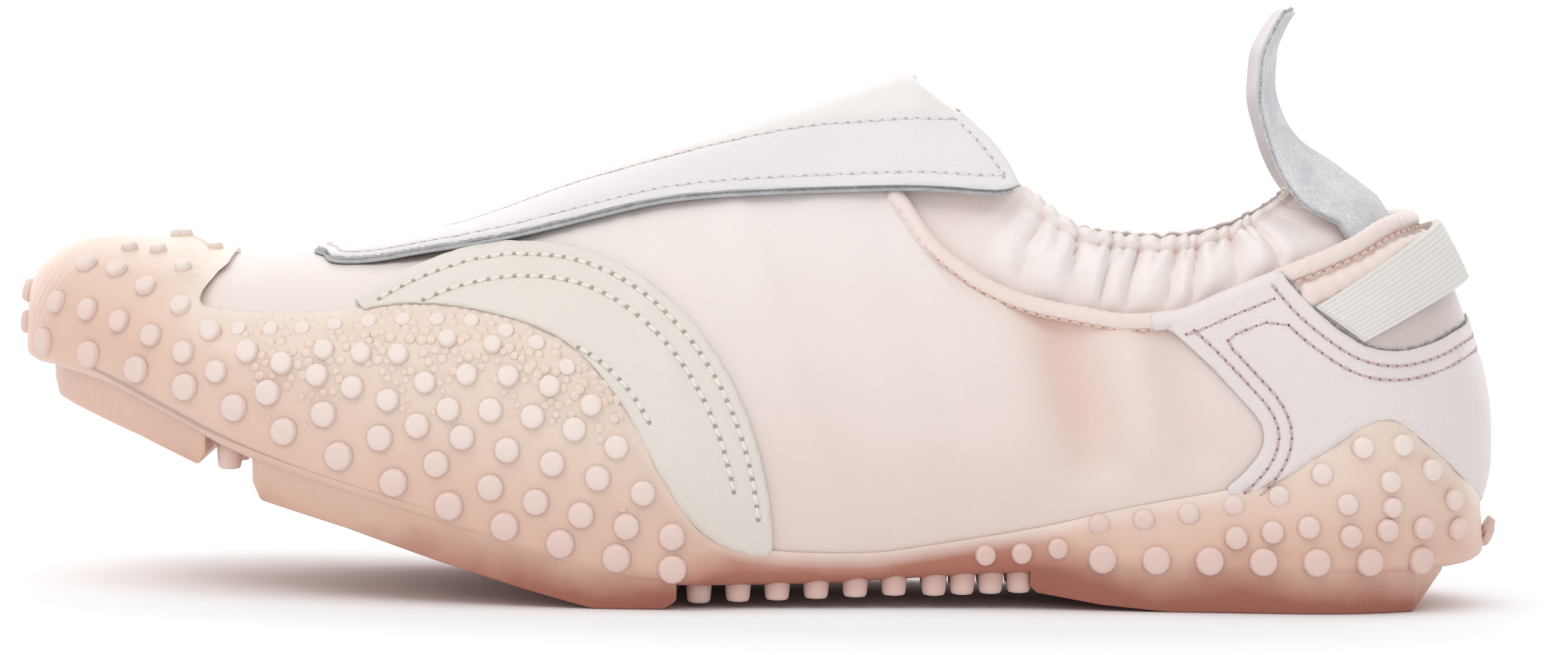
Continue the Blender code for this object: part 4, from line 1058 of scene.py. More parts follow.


# Each satin: its own colour, a colour of painted shade for low down, and a deeper colour of painted
# shade for folds and seams, which also tints the twill's ribs.
SATIN = satin_finish("pink_satin", (0.87, 0.80, 0.775), (0.81, 0.68, 0.63), (0.80, 0.55, 0.46))
# The flap's satin: the pink satin painted paler and whiter, a painted highlight where the flap faces
# up.
SATIN_PAINTED_PALER = satin_finish("pink_satin_painted_paler", (0.845, 0.805, 0.785), (0.81, 0.74, 0.71),
                          (0.78, 0.65, 0.60))
SATIN_TRIM = satin_finish("pink_satin_trim", (0.87, 0.75, 0.71), (0.84, 0.68, 0.62),
                          (0.80, 0.55, 0.47), on_surface=False, puckers=GATHERED)
SATIN_LINING = satin_finish("pink_satin_collar", (0.91, 0.835, 0.81), (0.89, 0.78, 0.745),
                            (0.85, 0.66, 0.59), sheen=0.35)
HEEL_SATIN = satin_finish("heel_panel_satin", (0.72, 0.62, 0.60), (0.68, 0.56, 0.54),
                          (0.60, 0.46, 0.44), on_surface=False)
CREAM_LEATHER = leather_finish("cream_leather", (0.785, 0.73, 0.67), (0.75, 0.685, 0.615))
BORDER_LEATHER = leather_finish("pale_border_leather", (0.81, 0.775, 0.77), (0.78, 0.735, 0.73))
PINK_LEATHER = leather_finish("pale_pink_leather", (0.81, 0.735, 0.72), (0.78, 0.69, 0.675))
PINK_LEATHER_TRIM = leather_finish("pale_pink_leather_trim", (0.83, 0.765, 0.755),
                                   (0.79, 0.71, 0.70))
RAW_EDGE = fibrous_finish("raw_leather_edge", (0.74, 0.71, 0.70), (0.52, 0.51, 0.52), 2200.0)
CREAM_EDGE = fibrous_finish("cream_leather_edge", (0.74, 0.70, 0.64), (0.60, 0.56, 0.50), 2200.0)
FUZZ = fibrous_finish("blue_grey_fuzz", (0.68, 0.68, 0.685), (0.46, 0.465, 0.485), 2600.0)
SUEDE = fibrous_finish("grey_suede", (0.92, 0.91, 0.92), (0.54, 0.55, 0.59), 1500.0)
SUEDE_NAP = fibrous_finish("suede_nap", (0.82, 0.81, 0.82), (0.62, 0.62, 0.65))
WEBBING = webbing_finish("white_elastic", (0.88, 0.845, 0.81), (0.74, 0.68, 0.63))
# A thread's own finish and the dark finish of its needle holes, which is painted shade in the holes.
CREAM_THREAD = (thread_finish("cream_thread", (0.90, 0.87, 0.81), (0.66, 0.61, 0.52)),
                fibrous_finish("cream_needle_hole_shade", (0.50, 0.45, 0.39), (0.40, 0.35, 0.30)))
MAUVE_THREAD = (thread_finish("mauve_thread", (0.68, 0.50, 0.51), (0.46, 0.29, 0.31)),
                fibrous_finish("mauve_needle_hole_shade", (0.36, 0.25, 0.26), (0.25, 0.16, 0.17)))
PALE_THREAD = (thread_finish("pale_thread", (0.88, 0.79, 0.785), (0.76, 0.63, 0.63)),
               fibrous_finish("pale_needle_hole_shade", (0.68, 0.57, 0.57), (0.58, 0.46, 0.46)))
ROSE_THREAD = (thread_finish("rose_thread", (0.84, 0.60, 0.53), (0.66, 0.38, 0.31)),
               fibrous_finish("rose_needle_hole_shade", (0.60, 0.33, 0.26), (0.46, 0.23, 0.17)))
LINING = plain_fabric_finish("lining_fabric", (0.80, 0.70, 0.67), (0.62, 0.50, 0.48))
RUBBER = rubber_finish("cloudy_rubber", moulded_relief)
TREAD_RUBBER = rubber_finish("ribbed_tread_rubber", ribbed_relief)
PEBBLE_RUBBER = rubber_finish("blistered_rubber", moulded_relief, clouded=0.0)
NUB_RUBBER = nub_finish("nub_rubber")


# ---- rubber sole
TreadRow = namedtuple("TreadRow", "x z")
TREADS = (
    table(TreadRow,
          (-235.4, 38.0), (-234.2, 35.0), (-217.0, 29.0), (-205.2, 24.2), (-203.8, 26.4)),
    table(TreadRow,
          (-194.6, 21.6), (-193.0, 18.2), (-176.5, 13.7), (-160.0, 8.4), (-143.7, 3.6),
          (-130.0, 0.0), (-117.0, 0.0), (-114.6, 1.6)),
    table(TreadRow,
          (-48.4, 4.4), (-47.0, 3.2), (-35.3, 1.2), (-22.0, 0.0), (24.5, 0.0), (30.6, 7.4)),
)
TREAD_INSET = 0.6  # in from the foot of the wall
TREAD_DRAFT = 2.0
TREAD_ROOT = 2.0  # how far it reaches up into the sole
TREAD_BEVEL = 0.5

NubRow = namedtuple("NubRow", "x_first x_last count z_first z_middle z_last size")
NUB_ROWS = table(NubRow,
    (-236.6, -188.4, 6, 45.6, 40.4, 31.5, 2.5),
    (-177.9, -115.4, 7, 27.3, 15.2, 7.8, 2.6),
    (-234.0, -201.7, 6, 53.6, 49.4, 42.1, 2.1),
    (-191.6, -159.6, 4, 38.6, 33.0, 26.4, 2.4),
    (-149.4, -115.6, 5, 22.3, 17.6, 13.8, 2.4),
    (-228.6, -216.4, 3, 60.6, 59.8, 57.0, 2.0),
    (-221.0, -209.6, 3, 63.6, 63.4, 60.8, 1.6),
    (-209.2, -203.2, 2, 53.8, 51.8, 49.4, 2.0),
    (-195.8, -168.9, 5, 46.0, 42.2, 38.0, 2.1),
    (-163.3, -121.1, 6, 33.4, 28.2, 21.8, 2.3),
    (-181.2, -167.2, 3, 46.8, 46.4, 46.4, 1.9),
    (-157.5, -126.2, 5, 36.6, 35.6, 30.3, 2.2),
    (-162.0, -131.0, 5, 41.4, 43.0, 38.0, 2.0),
    (-158.0, -149.6, 2, 49.4, 49.2, 48.6, 1.7),
    (-57.0, -43.4, 3, 10.4, 10.8, 11.8, 1.9),
    (-35.0, 25.4, 7, 10.0, 10.0, 10.2, 2.6),
    (-35.7, -2.0, 5, 16.2, 18.6, 22.2, 2.0),
    (-10.0, 3.6, 3, 14.4, 15.6, 16.6, 2.1),
    (6.0, 21.2, 3, 26.6, 31.6, 32.0, 2.0),
    (10.8, 27.0, 3, 21.0, 25.2, 27.2, 2.0),
    (11.6, 39.6, 5, 15.0, 16.4, 14.6, 2.1),
    (19.4, 31.6, 2, 20.4, 20.8, 21.4, 1.9),
)
LOW_NUB_ROWS = table(NubRow,  # nubs that barely stand out, near the wave's top
    (-173.2, -153.9, 4, 52.0, 52.6, 52.6, 1.5),
    (-147.4, -135.7, 3, 51.0, 49.0, 44.8, 1.6),
    (-204.0, -179.6, 5, 50.2, 50.0, 51.2, 1.5),
)
TOE_NUBS = (48.4, 56.6)
CAP_NUBS = (-216.6, -211.2, -205.4)  # along the toe cap's middle line
CAP_NUB_SIZE = 1.45
HEEL_NUBS = (13.2,)
END_NUB_SIZE = 2.2
NUB_HEIGHT = 1.25
LOW_NUB_HEIGHT = 0.6
HangRow = namedtuple("HangRow", "x_first x_last count across tip_first tip_last")
HANGING_NUBS = table(HangRow,
    (-110.5, -74.0, 6, 4, 0.9, 2.4),
    (-66.5, -50.5, 4, 4, 2.4, 3.0),
    (-199.4, -199.4, 1, 4, 23.4, 23.4),
)
HANG_SIZE = 2.3


TOE_SWELL = 1.8
TOE_SWELL_X = -230.0
CAP_EDGE_X = -196.0  # the toe cap's rear edge stands clear of the satin
CAP_EDGE_LIFT = 0.7
RIM_FIT = 0.12  # the cavity's gap at the rubber's thin top edge
END_REACH = 9.0  # the outline's end, out to where the end nubs are looked for
ABOVE_RIDGE = 80.0
HANG_INSET = 2.5


def wall_edge_line():
    return smooth_line(WALL_EDGE)


def foot_rim(u, side):
    """The feather edge and the level direction that points away from the shoe."""
    on = np.clip(u, 0, 1)
    run = skin_point(on + STEP_U, side) - skin_point(on - STEP_U, side)
    away = np.stack([-side * run[..., 1], side * run[..., 0], 0 * run[..., 2]], axis=-1)
    return skin_point(u, side), unit(away)


def wall_lift(point):
    """The rubber is thin at its top edge and thickens below it and over the toes."""
    x, z = point[..., 0], point[..., 2]
    full = ramp(wall_edge_height(x) - z, 0, WALL_TAPER)
    flare = WALL_FLARE * ramp(z - foot_at(x), FLARE_HEIGHT, 0)
    toe = TOE_SWELL * bell(x, TOE_SWELL_X, 8) * ramp(z, 48, 58)
    cap = CAP_EDGE_LIFT * ramp(x, CAP_EDGE_X, CAP_EDGE_X - 5) * ramp(z, 52, 56)
    return WALL_EDGE_LIFT + (WALL_LIFT - WALL_EDGE_LIFT + flare) * full + toe + cap


def wall_point(u, v):
    return skin(u, v, wall_lift(skin_point(u, v)))


def corner_point(u, side, turn):
    """The rounded corner under the wall, from its side (0) to the bottom (1)."""
    start = wall_point(u, side)
    away = foot_rim(u, side)[1]
    angle = np.asarray(turn) * math.pi / 2
    point = start - away * (CORNER_RADIUS * (1 - np.cos(angle)))[..., None]
    point[..., 2] = base_at(start[..., 0]) + CORNER_DROP * (1 - np.sin(angle))
    return point


def closed_rings(sides, steps, level=None):
    """Rings over the ridge, down one side, across and up the other."""
    share = shares(steps + 1)[1:-1][None, :, None]
    under = sides[0][:, -1:] * (1 - share) + sides[1][:, -1:] * share
    if level is not None:
        under[..., 2] = level(under[..., 0])
    return np.concatenate([sides[0], under, sides[1][:, :0:-1]], axis=1)


def bag(name, rings, material):
    """A closed mesh from rings; where a ring's two halves meet, they are welded."""
    count = rings.shape[1]
    faces = grid_faces(*rings.shape[:2], closed=True).tolist()
    piece = new_piece(name, rings, faces, [material])
    with editing(piece) as bm:
        bmesh.ops.dissolve_degenerate(bm, edges=bm.edges, dist=1e-6)
        open_edges = [edge for edge in bm.edges if edge.is_boundary]
        bmesh.ops.holes_fill(bm, edges=open_edges, sides=2 * count)
        bmesh.ops.recalc_face_normals(bm, faces=bm.faces)
        if bm.calc_volume(signed=True) < 0:
            bmesh.ops.reverse_faces(bm, faces=bm.faces)
    return piece


def tread_ring(x, z, u):
    """A tread's four corners at x, from its top on the outer side round to the inner."""
    top = base_at(x) + TREAD_ROOT
    y = [(wall_point(u, side) - TREAD_INSET * foot_rim(u, side)[1])[1] for side in (OUTER, INNER)]
    return [(x, y[0], top), (x, y[0] - OUTER * TREAD_DRAFT, z),
            (x, y[1] - INNER * TREAD_DRAFT, z), (x, y[1], top)]


def tread_block(name, profile):
    """A block under the sole, its sides drawn in a little towards the floor."""
    at = np.array(profile)
    x = np.unique(np.concatenate([at[:, 0], np.linspace(at[0, 0], at[-1, 0], 15)]))
    z = np.interp(x, at[:, 0], at[:, 1])
    u = locate(np.minimum(x, HEEL_BACK - 5), foot_at(x))[0]
    rings = [tread_ring(*place) for place in zip(x, z, u)]
    block = new_piece(name, rings, tube_faces(len(rings), 4), [TREAD_RUBBER], merge=0)
    return round_edges(block, TREAD_BEVEL, 35)


def rubber_levels(points):
    """Height for the rubber's colour: counted partly from the rising underside, with painted light at
    the heel and painted shade under the arch's edge and near the floor.
    """
    x, z = points[:, 0], points[:, 2]
    # painted light at the heel: lighter there, except in a band about 13 mm up where it is darker
    heel = (1.9 - 5.0 * bell(z, 13, 5)) * ramp(x, -55, -25)
    # painted shadow under the sole's edge at the arch
    arch = -7.0 * ramp(x, -118, -102) * ramp(x, -28, -50)
    toe = -13.0 * ramp(x, -196, -220) * ramp(z, 34, 52)
    # painted contact shade near the floor
    floor = -3.5 * ramp(z, 9, 0)
    return z - 0.72 * base_at(x) + heel + arch + toe + floor + 3.0


def rubber_attributes(piece):
    """What the rubber's finish reads: its level, how near the top edge, blisters and lines."""
    points = vertex_points(piece)
    line = np.insert(even_line(wall_edge_line(), 0.4), 1, 0.0, axis=1)
    distance = nearest(points * [1, 0, 1], line)
    x, z = points[:, 0], points[:, 2]
    wave = ramp(x, PEBBLES_FROM, PEBBLES_FROM + 10) * ramp(x, PEBBLES_TO, PEBBLES_TO - 20)
    behind_cap = ramp(distance, 14, 6) * ramp(z, 50, 56) * ramp(x, -203, -209)
    front = ramp(x, -229, -234) * ramp(z, 44, 52)
    float_attribute(piece, "level", rubber_levels(points))
    float_attribute(piece, "edge_distance", distance)
    float_attribute(piece, "pebbles", 0.45 * wave * ramp(distance, 30, 14))
    float_attribute(piece, "flow", np.clip(front + behind_cap, 0, 1))


def make_rubber():
    """The cup sole: its outside and treads, less the last's cavity and all above its edge."""
    u = shares(125)[:, None]
    v = shares(25)[None, :]
    turn = shares(8)[None, :] + 0 * u
    outside, cavity = [], []
    for side in (OUTER, INNER):
        outside.append(np.concatenate([wall_point(u, side * v), corner_point(u, side, turn)], axis=1))
        edge, away = foot_rim(u, side)
        floor = edge + FIT * away - [0.0, 0.0, FLOOR_DROP]
        base = skin_point(u, side * v)
        depth = wall_edge_height(base[..., 0]) - base[..., 2]
        clear = RIM_FIT + (FIT - RIM_FIT) * ramp(depth, 0, 5)
        cavity.append(np.concatenate([skin(u, side * v, clear), floor], axis=1))
    rubber = bag("rubber_sole", closed_rings(outside, 10, base_at), RUBBER)
    for k, profile in enumerate(TREADS):
        combine(rubber, tread_block("tread_%d" % k, profile), "UNION")
    combine(rubber, bag("sole_cavity", closed_rings(cavity, 10), RUBBER), "DIFFERENCE")
    edge = wall_edge_line()
    above = np.vstack([edge, [[edge[-1][0], 160.0], [edge[0][0], 160.0]]])
    combine(rubber, prism("above_wall", above, 90.0, RUBBER), "DIFFERENCE")
    rubber_attributes(rubber)
    rubber.data.set_sharp_from_angle(angle=math.radians(38))
    return settle(rubber, "rubber", "sole")


def wall_seat(x, z, side):
    """A point of the sole's outside and its outward direction, seen at x, z."""
    aim_x, aim_z = x, z
    for _ in range(8):
        u, v = locate(aim_x, max(aim_z, float(foot_at(aim_x))))
        side_foot = wall_point(u, side)
        corner_top = base_at(side_foot[0]) + CORNER_DROP
        if z >= side_foot[2]:
            point, away = wall_point(u, side * v), skin_normal(u, side * v)
            aim_z += z - point[2]
        elif z >= corner_top:
            point, away = np.append(side_foot[:2], z), foot_rim(u, side)[1]
        else:
            sine = min(1.0, (corner_top - z) / CORNER_DROP)
            point = corner_point(u, side, math.asin(sine) / (math.pi / 2))
            away = foot_rim(u, side)[1] * math.sqrt(1 - sine ** 2) - [0.0, 0.0, sine]
        aim_x += x - point[0]
    return point, unit(away)


def row_places(row):
    share = shares(row.count)
    x = row.x_first + (row.x_last - row.x_first) * share
    z = (row.z_first * (1 - share) * (1 - 2 * share) + row.z_middle * 4 * share * (1 - share)
         + row.z_last * share * (2 * share - 1))
    return zip(x, z)


Nub = namedtuple("Nub", "seat away radius height")


def side_nubs():
    nubs = []
    for rows, height in ((NUB_ROWS, NUB_HEIGHT), (LOW_NUB_ROWS, LOW_NUB_HEIGHT)):
        for row in rows:
            for x, z in row_places(row):
                nubs += [Nub(*wall_seat(x, z, side), row.size, height) for side in (OUTER, INNER)]
    return nubs


def middle_nubs():
    """The nubs on the middle line, at the toe's and the heel's end and on the cap."""
    nubs = []
    for x, heights in ((TOE_TIP - END_REACH, TOE_NUBS), (HEEL_BACK + END_REACH, HEEL_NUBS)):
        nubs += [Nub(*wall_seat(x, z, INNER), END_NUB_SIZE, NUB_HEIGHT) for z in heights]
    for x in CAP_NUBS:
        u = locate(x, ABOVE_RIDGE)[0]
        nubs.append(Nub(wall_point(u, 0.0), skin_normal(u, 0.0), CAP_NUB_SIZE, NUB_HEIGHT))
    return nubs


def hanging_nubs():
    """The nubs that hang from the underside, to the floor or near it."""
    nubs = []
    for row in HANGING_NUBS:
        tips = np.linspace(row.tip_first, row.tip_last, row.count)
        for x, tip in zip(np.linspace(row.x_first, row.x_last, row.count), tips):
            u = locate(x, foot_at(x))[0]
            top = float(base_at(x))
            low = skin_point(u, OUTER)[1] + HANG_INSET
            high = skin_point(u, INNER)[1] - HANG_INSET
            nubs += [Nub(np.array([x, y, top]), np.array([0.0, 0.0, -1.0]), HANG_SIZE, top - tip)
                     for y in np.linspace(low, high, row.across)]
    return nubs


NUB_PROFILE = (  # radius and height shares, from its foot to its end
    (1.08, -0.35), (1.04, 0.12), (1.00, 0.50), (0.95, 0.80), (0.82, 0.95), (0.45, 1.0),
)
NUB_SIDES = 14
PEBBLE_PROFILE = ((1.00, -0.40), (0.96, 0.15), (0.78, 0.62), (0.42, 0.95))
PEBBLE_SIDES = 8
PEBBLE_LINES = 12
PEBBLE_PITCH = 1.95
PEBBLE_LINE_SHARE = 0.87  # the pitch between lines, beside the pitch along them
PEBBLE_SHIFT = 0.22  # how unevenly they lie
PEBBLE_GAP = 0.45  # from a nub's side
PEBBLE_RADIUS = 1.08
PEBBLE_HEIGHT = 0.22
PEBBLES_FROM, PEBBLES_TO = -214.0, -108.0
BESIDE_RIDGE = 0.06  # |v| under which a place is on the shoe's middle line
NO_KNOB = (0.1, 0.2, 0.97)  # a direction that no knob's seat has


def turned_shape(name, profile, sides, material):
    """A low turned knob of unit radius and height, closed at both ends."""
    angle = np.linspace(0, 2 * math.pi, sides, endpoint=False)
    rings = [np.stack([r * np.cos(angle), r * np.sin(angle), 0 * angle + h], axis=1)
             for r, h in profile]
    shape = new_piece(name, np.array(rings) / MM, tube_faces(len(rings), sides), [material], merge=0)
    float_attribute(shape, "tip", [max(0.0, (h - 0.2) / 0.8) for _, h in profile for _ in angle])
    return shape


def knobs(name, profile, sides, seats, away, size, material):
    shape = turned_shape(name + "_shape", profile, sides, material)
    tree = scatter_tree(name + "_rows", object_shape(shape))
    piece = scatter(name, tree, seats, np.cross(away, NO_KNOB), away, size, (1.0, 1.0, 1.0), material)
    bpy.data.objects.remove(shape, do_unlink=True)
    return piece


def pebble_places(row, rng):
    """One line of blisters as (u, |v|), and their sizes."""
    depth = 1.5 + row * PEBBLE_PITCH * PEBBLE_LINE_SHARE
    x = np.arange(CAP_EDGE_X, PEBBLES_TO, PEBBLE_PITCH) + 0.5 * PEBBLE_PITCH * (row % 2)
    x = x + rng.normal(0, PEBBLE_SHIFT, len(x))
    z = wall_edge_height(x) - depth + rng.normal(0, PEBBLE_SHIFT, len(x))
    reach = 13 + 6 * wobble(x, 13, 14.0)
    chance = 0.93 * ramp(depth, reach + 8, reach - 2) * ramp(x, -121, -133)
    kept = (rng.uniform(0, 1, len(x)) < chance) & (z > foot_at(x) + 1)
    u, v = locate(x[kept], z[kept])
    u, v = u[v > BESIDE_RIDGE], v[v > BESIDE_RIDGE]
    return u, v, (1 - 0.35 * ramp(depth, 7, 19)) * rng.uniform(0.72, 1.08, len(u))


def pebble_seats(nubs):
    """Places for the small blisters under the rubber's top edge, clear of the nubs."""
    rng = np.random.default_rng(41)
    points, away, size = [], [], []
    for row in range(PEBBLE_LINES):
        u, v, shrunk = pebble_places(row, rng)
        for side in (OUTER, INNER):
            points.append(wall_point(u, side * v))
            away.append(skin_normal(u, side * v))
            size.append(shrunk)
    points, away, size = np.vstack(points), np.vstack(away), np.concatenate(size)
    seats = np.array([nub.seat for nub in nubs])
    radii = np.array([nub.radius for nub in nubs])
    gap = np.linalg.norm(points[:, None] - seats[None], axis=-1) - radii
    clear = gap.min(axis=1) > PEBBLE_GAP
    return points[clear], away[clear], size[clear]


def make_nubs(nubs):
    seats = np.array([nub.seat for nub in nubs])
    away = np.array([nub.away for nub in nubs])
    size = np.array([(nub.radius, nub.radius, nub.height) for nub in nubs])
    piece = knobs("rubber_nubs", NUB_PROFILE, NUB_SIDES, seats, away, size, NUB_RUBBER)
    float_attribute(piece, "level", rubber_levels(vertex_points(piece)))
    return settle(piece, "rubber")


def make_pebbles(nubs):
    points, away, size = pebble_seats(nubs)
    size = size[:, None] * [PEBBLE_RADIUS, PEBBLE_RADIUS, PEBBLE_HEIGHT]
    piece = knobs("rubber_pebbles", PEBBLE_PROFILE, PEBBLE_SIDES, points, away, size, PEBBLE_RUBBER)
    rubber_attributes(piece)
    return settle(piece, "rubber")


# ---- the footbed
FOOTBED_INSET = 2.9
FOOTBED_DEPTH = 3.0
FOOTBED_CROWN = 0.9
FOOTBED_DIP = 0.4


def make_footbed():
    u = shares(70)[:, None]
    x = skin_point(u, OUTER)[..., 0]
    rim_v = locate(x, foot_at(x) + FOOTBED_DEPTH)[1]
    share = shares(22)[None, :, None]
    foot = [skin(u, side, -FOOTBED_INSET) for side in (OUTER, INNER)]
    top = [skin(u, side * rim_v, -FOOTBED_INSET) for side in (OUTER, INNER)]
    under = foot[1] * (1 - share) + foot[0] * share
    over = top[0] * (1 - share) + top[1] * share
    across = share[..., 0]
    crown = np.sqrt(np.clip(4 * across * (1 - across), 0, 1))
    over[..., 2] += FOOTBED_CROWN * crown - FOOTBED_DIP
    footbed = bag("footbed", np.concatenate([over, under], axis=1), LINING)
    settle(footbed, "foam", "insole")
    return footbed


# ---- the satin upper
CREASE = table(SidePoint,
    (-47.0, 60.0), (-43.0, 52.0), (-40.0, 42.0), (-37.5, 30.0), (-36.0, 20.0),
)
crease_line = Curve(sorted(CREASE, key=lambda point: point.z), "z", "x")
Fold = namedtuple("Fold", "behind width height")  # behind the crease's line, in millimetres
CREASE_FOLDS = table(Fold,
    (0.0, 6.5, -2.0), (-12.0, 8.0, 0.8), (10.0, 5.0, 0.9), (19.0, 4.0, -0.8),
)
THROAT_X = -76.0  # the topline's free part starts here


def satin_relief(point):
    """The broad crease under the ankle, soft drags behind it and puckers at the edge."""
    x, z = point[..., 0], point[..., 2]
    away = x - crease_line(z)
    folds = sum(fold.height * bell(away, fold.behind, fold.width) for fold in CREASE_FOLDS)
    folds = folds * ramp(z, 16, 30) * ramp(z, 66, 58)
    free = ramp(z - wall_edge_height(x), 1.5, 9.5)
    drags = 0.35 * wobble(x + 0.35 * z, 7, 19.0)
    depth = topline_height(x) - z
    stitched = ramp(x, THROAT_X, THROAT_X + 3) * ramp(x, -24, -27)
    pucker = 0.20 * np.sin(x * 2.9 + 1.1 * np.sin(x * 0.37)) * ramp(depth, 6.5, 0)
    drawn = 0.35 * wobble(x - 0.4 * z, 23, 7.0) * ramp(depth, 16, 0)
    swell = -0.35 * ramp(depth, 4.5, 0) * ramp(x, THROAT_X, THROAT_X + 3)
    return (folds + drags) * free + stitched * (pucker + drawn) + swell


def painted_crease_shade(point):
    """Painted shade for the satin's colour: how deep in a crease or beside a seam it lies."""
    x, z = point[..., 0], point[..., 2]
    away = x - crease_line(z)
    folds = 0.75 * bell(away, -1.0, 6.5) + 0.22 * bell(away, 19, 6)
    seam = 0.55 * ramp(topline_height(x) - z, 5.5, 0) * ramp(x, THROAT_X, THROAT_X + 3)
    return np.clip(folds * ramp(z, 20, 40) * ramp(z, 66, 60) + seam, 0, 0.85)


UPPER_LINES = 220
UPPER_ROWS = 60
END_CROWDING = 0.15  # how much closer the lines lie at the toe and the heel


def make_satin_upper():
    even = np.linspace(0, 1, UPPER_LINES)
    eased = (1 - np.cos(math.pi * even)) / 2
    u = eased * END_CROWDING + even * (1 - END_CROWDING)
    top = topline_v(u)[:, None]
    v = top + (1 - top) * shares(UPPER_ROWS)[None, :]
    u = u[:, None] + 0 * v
    halves = [skin(u, side * v, satin_relief(skin_point(u, side * v))) for side in (OUTER, INNER)]
    places = [np.stack([u, side * v], axis=-1) * DOMAIN for side in (OUTER, INNER)]
    faces = grid_faces(*u.shape)
    faces = np.concatenate([faces, faces[:, ::-1] + u.size])
    upper = new_piece("satin_upper", np.concatenate(halves), faces.tolist(), [SATIN, LINING], merge=0)
    surface_map(upper, np.concatenate(places).reshape(-1, 2))
    # painted shade in the crease and beside the topline's seam
    float_attribute(upper, "fold", painted_crease_shade(vertex_points(upper)))
    weld_seams(upper)
    wall = upper.modifiers.new("Wall", "SOLIDIFY")
    wall.thickness = UPPER_WALL * MM
    wall.offset = -1.0
    wall.material_offset = 1
    apply_modifiers(upper)
    upper.data.set_sharp_from_angle(angle=math.radians(60))
    return settle(upper, "satin", "upper")


def weld_seams(piece):
    """Joins the two sides where they meet, and turns the faces outwards."""
    with editing(piece) as bm:
        bmesh.ops.remove_doubles(bm, verts=bm.verts, dist=0.005 * MM)
        face_outwards(bm, lambda face: face.normal.y * face.calc_center_median().y)
    piece.data.shade_smooth()


# ---- the gathered collar
CollarRow = namedtuple("CollarRow", "share x half_width z")
COLLAR_EDGE = table(CollarRow,
    (0.00, -80.0, 10.0, 86.0),
    (0.08, -66.0, 14.0, 83.5),
    (0.16, -52.0, 17.0, 79.3),
    (0.25, -38.0, 19.0, 70.6),
    (0.33, -25.0, 18.5, 69.4),
    (0.44, -14.0, 16.5, 70.8),
    (0.58, -6.5, 12.0, 74.0),
    (0.78, -1.2, 6.0, 77.2),
    (1.00, 0.5, 0.0, 78.4),
)
COLLAR_FIRST = 17 / 32  # where it starts along the last, under the flap
COLLAR_WALL = 1.2
COLLAR_LIFT = -2.8
COLLAR_HEEL_LIFT = -5.4
GATHER_PITCH = 3.1  # folds at the elastic edge
FOLD_PITCH = 6.2  # folds that they run together into
HEM_FROM = 0.84  # share of the height at which the hem is sewn
HEM_LEAN = 0.08  # the hem leans in on the outer side and out on the inner
INNER_RIM_DROP = 1.4  # the collar is a little lower on the inner side
COLLAR_ROOT = 0.10  # how far below the topline it starts, as |v|
BULGE_RISE, BULGE_LEAN = 0.62, 0.12  # shares of the way up and in to its edge
EDGE_RISE = 0.30  # share of its height over which its edge stands upright
OPENING_X = -22.0  # the middle of the foot's opening


def round_heel(lines):
    """u and side along a path from the outer side round the heel to the inner."""
    u = np.concatenate([lines, lines[-2::-1]])
    side = np.repeat([OUTER, INNER], [len(lines), len(lines) - 1])
    return u, side


def pleats(phase, sharpness=0.75):
    """Rounded folds with sharp valleys, from -1 to 1."""
    return 2 * (np.sin(phase / 2) ** 2 + 0.004) ** (sharpness / 2) - 1


def collar_edge(share, side):
    """The collar's gathered edge at a share of the way to the heel."""
    x, half_width, z = (Curve(COLLAR_EDGE, "share", name)(share) for name in ("x", "half_width", "z"))
    z = z - INNER_RIM_DROP * (side > 0) * ramp(share, 1.0, 0.7)
    return np.stack([x, side * half_width + centre_at(x), z], axis=-1)


def collar_sheet(rows):
    """The collar from its foot, behind the satin, up to its gathered edge."""
    u, side = round_heel(np.linspace(COLLAR_FIRST, 1.0, 230))
    share = (u - COLLAR_FIRST) / (1 - COLLAR_FIRST)
    depth = COLLAR_LIFT + (COLLAR_HEEL_LIFT - COLLAR_LIFT) * ramp(share, 0.45, 0.65)
    v = topline_v(u)
    root = skin(u, side * np.minimum(v + COLLAR_ROOT, 1.0), depth)
    start = skin(u, side * v, depth)
    edge = collar_edge(share, side)
    way = edge - start
    bulge = start + way * [BULGE_LEAN, BULGE_LEAN, BULGE_RISE]
    lean = HEM_LEAN * side * ramp(share, 1.0, 0.7)
    upright = edge + way * [1, 1, 0] * lean[:, None] - way * [0, 0, EDGE_RISE]
    t = rows[None, :, None]
    above = ((1 - t) ** 3 * start[:, None] + 3 * t * (1 - t) ** 2 * bulge[:, None]
             + 3 * t * t * (1 - t) * upright[:, None] + t ** 3 * edge[:, None])
    foot = root[:, None] + (start - root)[:, None] * np.array([0.0, 0.5])[None, :, None]
    return np.concatenate([foot, above], axis=1), edge


def gathers(length, s):
    """The small folds that the elastic draws, at the run s."""
    return pleats(2 * math.pi * s / GATHER_PITCH + 3.4 * wobble(length, 3, 26.0))


